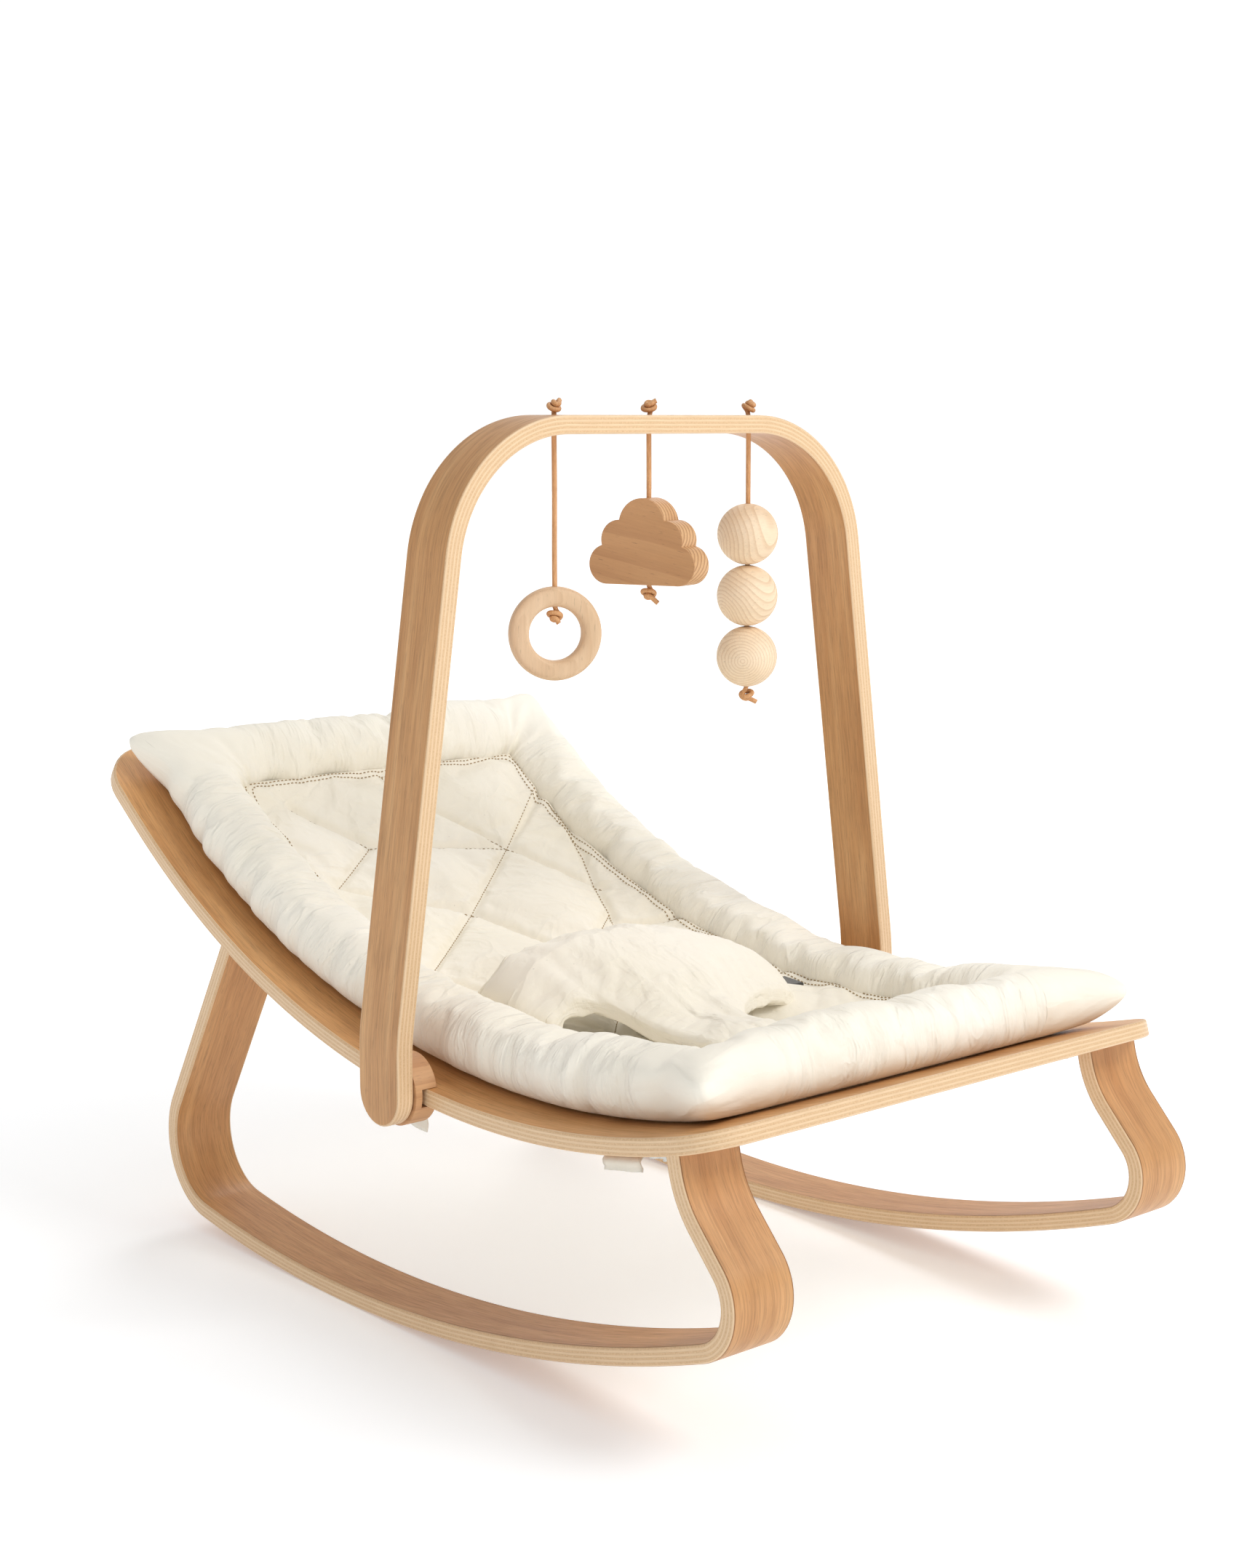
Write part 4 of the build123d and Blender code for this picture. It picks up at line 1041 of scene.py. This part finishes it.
# ------------------------------------------------------------------ flaps and tabs below
def ribbon(name, flat_w, pts_sd, x0, x1, mat, nodes, n_across=10, wave=0.6, seed=1, thick=1.1):
    """a cloth strip across the seat: pts_sd = [(s, d)], from x0 to x1"""
    r_ = np.random.default_rng(seed)
    pl = np.array(pts_sd, float)
    cum = np.concatenate([[0], np.cumsum(np.hypot(*(pl[1:] - pl[:-1]).T))])
    m = max(4, int(cum[-1] / 4))
    q = np.linspace(0, cum[-1], m)
    S = np.interp(q, cum, pl[:, 0]); Dd = np.interp(q, cum, pl[:, 1])
    xs = np.linspace(x0, x1, n_across)
    wv = smooth_noise(max(8, n_across), 6, r_)[:n_across]
    V, G = [], []
    for i, x in enumerate(xs):
        for j in range(m):
            dd = Dd[j] - abs(wave * wv[i]) * math.sin(math.pi * j / (m - 1))
            V.append(seat_pt(S[j], x, dd)); G.append(((x) * MM, q[j] * MM, 0))
    F = [(i * m + j, i * m + j + 1, (i + 1) * m + j + 1, (i + 1) * m + j) for i in range(n_across - 1) for j in range(m - 1)]
    me = bpy.data.meshes.new(name); me.from_pydata([tuple(v) for v in V], [], F); set_attr(me, "grain", G)
    for p in me.polygons: p.use_smooth = True
    o = new_obj(name, me, "seat", [mat])
    md = o.modifiers.new("solid", "SOLIDIFY"); md.thickness = thick * MM; md.offset = 0
    return o, ((x1 - x0), cum[-1])


f1, sz1 = ribbon("foot_flap_cloth", 0, [(19, -1.0), (28, -1.6), (48, -2.2), (62, -1.8), (72, -1.2)], -148, 126, M_FLAP, (), 60, 0.8, 5)
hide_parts("cushion_foot_flap")
f2, sz2 = ribbon("head_flap_cloth", 0, [(652, -1.2), (664, -2.4), (690, -2.6), (706, -1.6)], -118, 118, M_FLAP, (), 50, 0.6, 6)
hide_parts("cushion_head_flap")


def side_tab(name, sx, a0, a1, hang):
    """a 33 mm ribbon that passes under the rail and hangs as a loose end below the edge"""
    s0 = SEAT_R * math.radians(a0 - FOOT_ANG); s1 = SEAT_R * math.radians(a1 - FOOT_ANG)
    path = [(141, -1.4), (165, -1.6), (181, -2.0), (187, -3.2)]
    if hang:
        path += [(189.2, -3.4 - 0.22 * hang), (189.0, -3.4 - 0.5 * hang), (187.8, -3.4 - 0.78 * hang), (188.6, -3.4 - hang)]
    V, G = [], []
    ss = np.linspace(s0 + 0.6, s1 - 0.6, 12)
    pl = np.array(path); cum = np.concatenate([[0], np.cumsum(np.hypot(*(pl[1:] - pl[:-1]).T))])
    q = np.linspace(0, cum[-1], 26)
    for i, s in enumerate(ss):
        for j, qq in enumerate(q):
            x = np.interp(qq, cum, pl[:, 0]); d = np.interp(qq, cum, pl[:, 1])
            k_ = qq / cum[-1]
            x += 0.7 * math.sin(i * 0.9 + 1.1 * sx) * max(0, k_ - 0.6) * 2
            V.append(seat_pt(s, sx * x, d)); G.append((s * MM, qq * MM, 0))
    m = len(q)
    F = [(i * m + j, i * m + j + 1, (i + 1) * m + j + 1, (i + 1) * m + j) for i in range(len(ss) - 1) for j in range(m - 1)]
    me = bpy.data.meshes.new(name); me.from_pydata([tuple(v) for v in V], [], F); set_attr(me, "grain", G)
    for p in me.polygons: p.use_smooth = True
    o = new_obj(name, me, "seat", [M_FLAP])
    md = o.modifiers.new("solid", "SOLIDIFY"); md.thickness = 1.0 * MM; md.offset = 0
    return o


for sx in (-1, 1):
    for i, (a, hg) in enumerate(((-11.6, 8.0), (5.4, 21.0), (15.8, 0.0))):
        side_tab("side_tab_%s_%d" % ("right" if sx < 0 else "left", i), sx, a, a + 2.8, hg)
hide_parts("cushion_side_tabs")

# ------------------------------------------------------------------ waist harness pad
BX = -18.0
def harness_outline():
    pts = []
    uL, uR = -116.0, 114.0
    y1, y0 = -60.0, -132.0
    # back edge, left to right, gently bowed and drawn towards the foot at the far end
    for i in range(21):
        t = i / 20
        pts.append((uL + (uR - uL) * t, y1 - 5 * math.cos(math.pi * (t - 0.5)) + 5 - 34 * max(0, (t - 0.4) / 0.6) ** 1.4))
    pts.append((uR + 3, -116))
    # front edge, far side inwards, then the crotch and back out past the near leg's opening
    pts += [(uR, -140), (98, -148), (76, -153), (52, -160), (30, -171), (14, -186), (4, -206), (0, -238), (-30, -242), (-60, -238),
            (-61, -206), (-62, -182), (-62, -160), (-66, -141), (-76, -129), (-90, -126), (-104, -128), (uL, y0)]
    pts.append((uL - 3, (y0 + y1) / 2))
    return pts


HO = harness_outline()
def cat(pts, n=4):
    """closed Catmull-Rom through the points"""
    o = []
    m = len(pts)
    for i in range(m):
        p0, p1, p2, p3 = (np.array(pts[(i + k_) % m], float) for k_ in (-1, 0, 1, 2))
        for j in range(n):
            t = j / n
            o.append(tuple(0.5 * ((2 * p1) + (-p0 + p2) * t + (2 * p0 - 5 * p1 + 4 * p2 - p3) * t * t + (-p0 + 3 * p1 - 3 * p2 + p3) * t ** 3)))
    return o


HOs = cat(HO, 3)
HT = 24.0
me = flat_slab("harness", [HOs], HT, 3.0, cut_x=np.arange(-112, 114, 4.6), cut_y=np.arange(-238, -58, 4.6), res=3)
co = get_co(me)
dE = np.full(len(co), 1e9)
for a, b in zip(HOs, HOs[1:] + HOs[:1]):
    dE = np.minimum(dE, seg_dist(co[:, 0], co[:, 1], a, b))
EA, EB = 87.0, 29.0
# arc length table of the belt's ellipse, from its crest
th = np.linspace(-1.75, 1.75, 701)
ex, ez = EA * np.sin(th), EB * np.cos(th)
el = np.concatenate([[0], np.cumsum(np.hypot(np.diff(ex), np.diff(ez)))]); el -= np.interp(0, th, el)
def harness_map(u, v, d):
    """flat (u across, v = y, d through the pad) to the row frame in metres"""
    t = np.interp(u, el, th)
    fall = 1 / (1 + np.exp((v + 140.0) / -22.0))      # 1 on the belt, 0 towards the foot
    fall = np.clip(fall, 0, 1)
    px = EA * np.sin(t); pz = EB * np.cos(t)
    nx_, nz_ = np.sin(t) / EA, np.cos(t) / EB
    nn = np.hypot(nx_, nz_); nx_, nz_ = nx_ / nn, nz_ / nn
    X = BX + (px + nx_ * d) * fall + (u * 0.94) * (1 - fall)
    Hh = 19.0 - 8.5 * np.clip(u / 100.0, -1, 1) * fall + (np.maximum(pz, -3) + nz_ * d) * fall + d * 0.9 * (1 - fall)
    Hh = Hh - 4.0 * (1 - fall)
    nar = np.clip((u - 60.0) / 90.0, 0, 1) ** 2 * fall           # the far end is drawn in to its strap
    y = v + nar * 0.2 * (-116.0 - v)
    under = SEAT_CZ - np.sqrt(SEAT_R ** 2 - (y - SEAT_CY) ** 2)
    Z = under + PLY + Hh
    Y = y + DY - 6.0 * fall * (pz / EB)
    return np.stack([X, Y, Z], -1) * MM


zc = co[:, 2] / HT - 0.5
pf = 0.40 + 0.66 * (1 - np.exp(-dE / 11.0))
gx_ = smooth_noise(512, 60, np.random.default_rng(11))
gather = np.interp((co[:, 0] + 200) / 400 * 511, np.arange(512), gx_) * np.exp(-dE / 17.0)
d_ = HT / 2 + zc * HT * pf * 1.15 + np.sign(zc) * gather * 1.1
set_attr(me, "grain", co * MM)
set_co(me, harness_map(co[:, 0], co[:, 1], d_))
pad = new_obj("harness_pad_cloth", me, None, [M_PAD])
bm = bmesh.new(); bm.from_mesh(me); bmesh.ops.triangulate(bm, faces=[f for f in bm.faces if len(f.verts) > 4])
bmesh.ops.recalc_face_normals(bm, faces=bm.faces)
for f in bm.faces: f.smooth = True
bm.to_mesh(me); bm.free()
pin = np.where(dE < 4.0, 1.0, np.where(dE < 8, 0.3, 0.0))
cloth(pad, pin, 3.2, 0.06, 16, 0.006, stiff=5.0, bendk=0.3)
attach(pad, "harness")
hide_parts("harness_pad")
sb = pad.modifiers.new("sub", "SUBSURF"); sb.levels = 1; sb.render_levels = 1

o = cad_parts["waist_buckle"]
for i in range(len(o.material_slots)):
    o.material_slots[i].material = M_BUCKLE

# ------------------------------------------------------------------ finish
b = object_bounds()
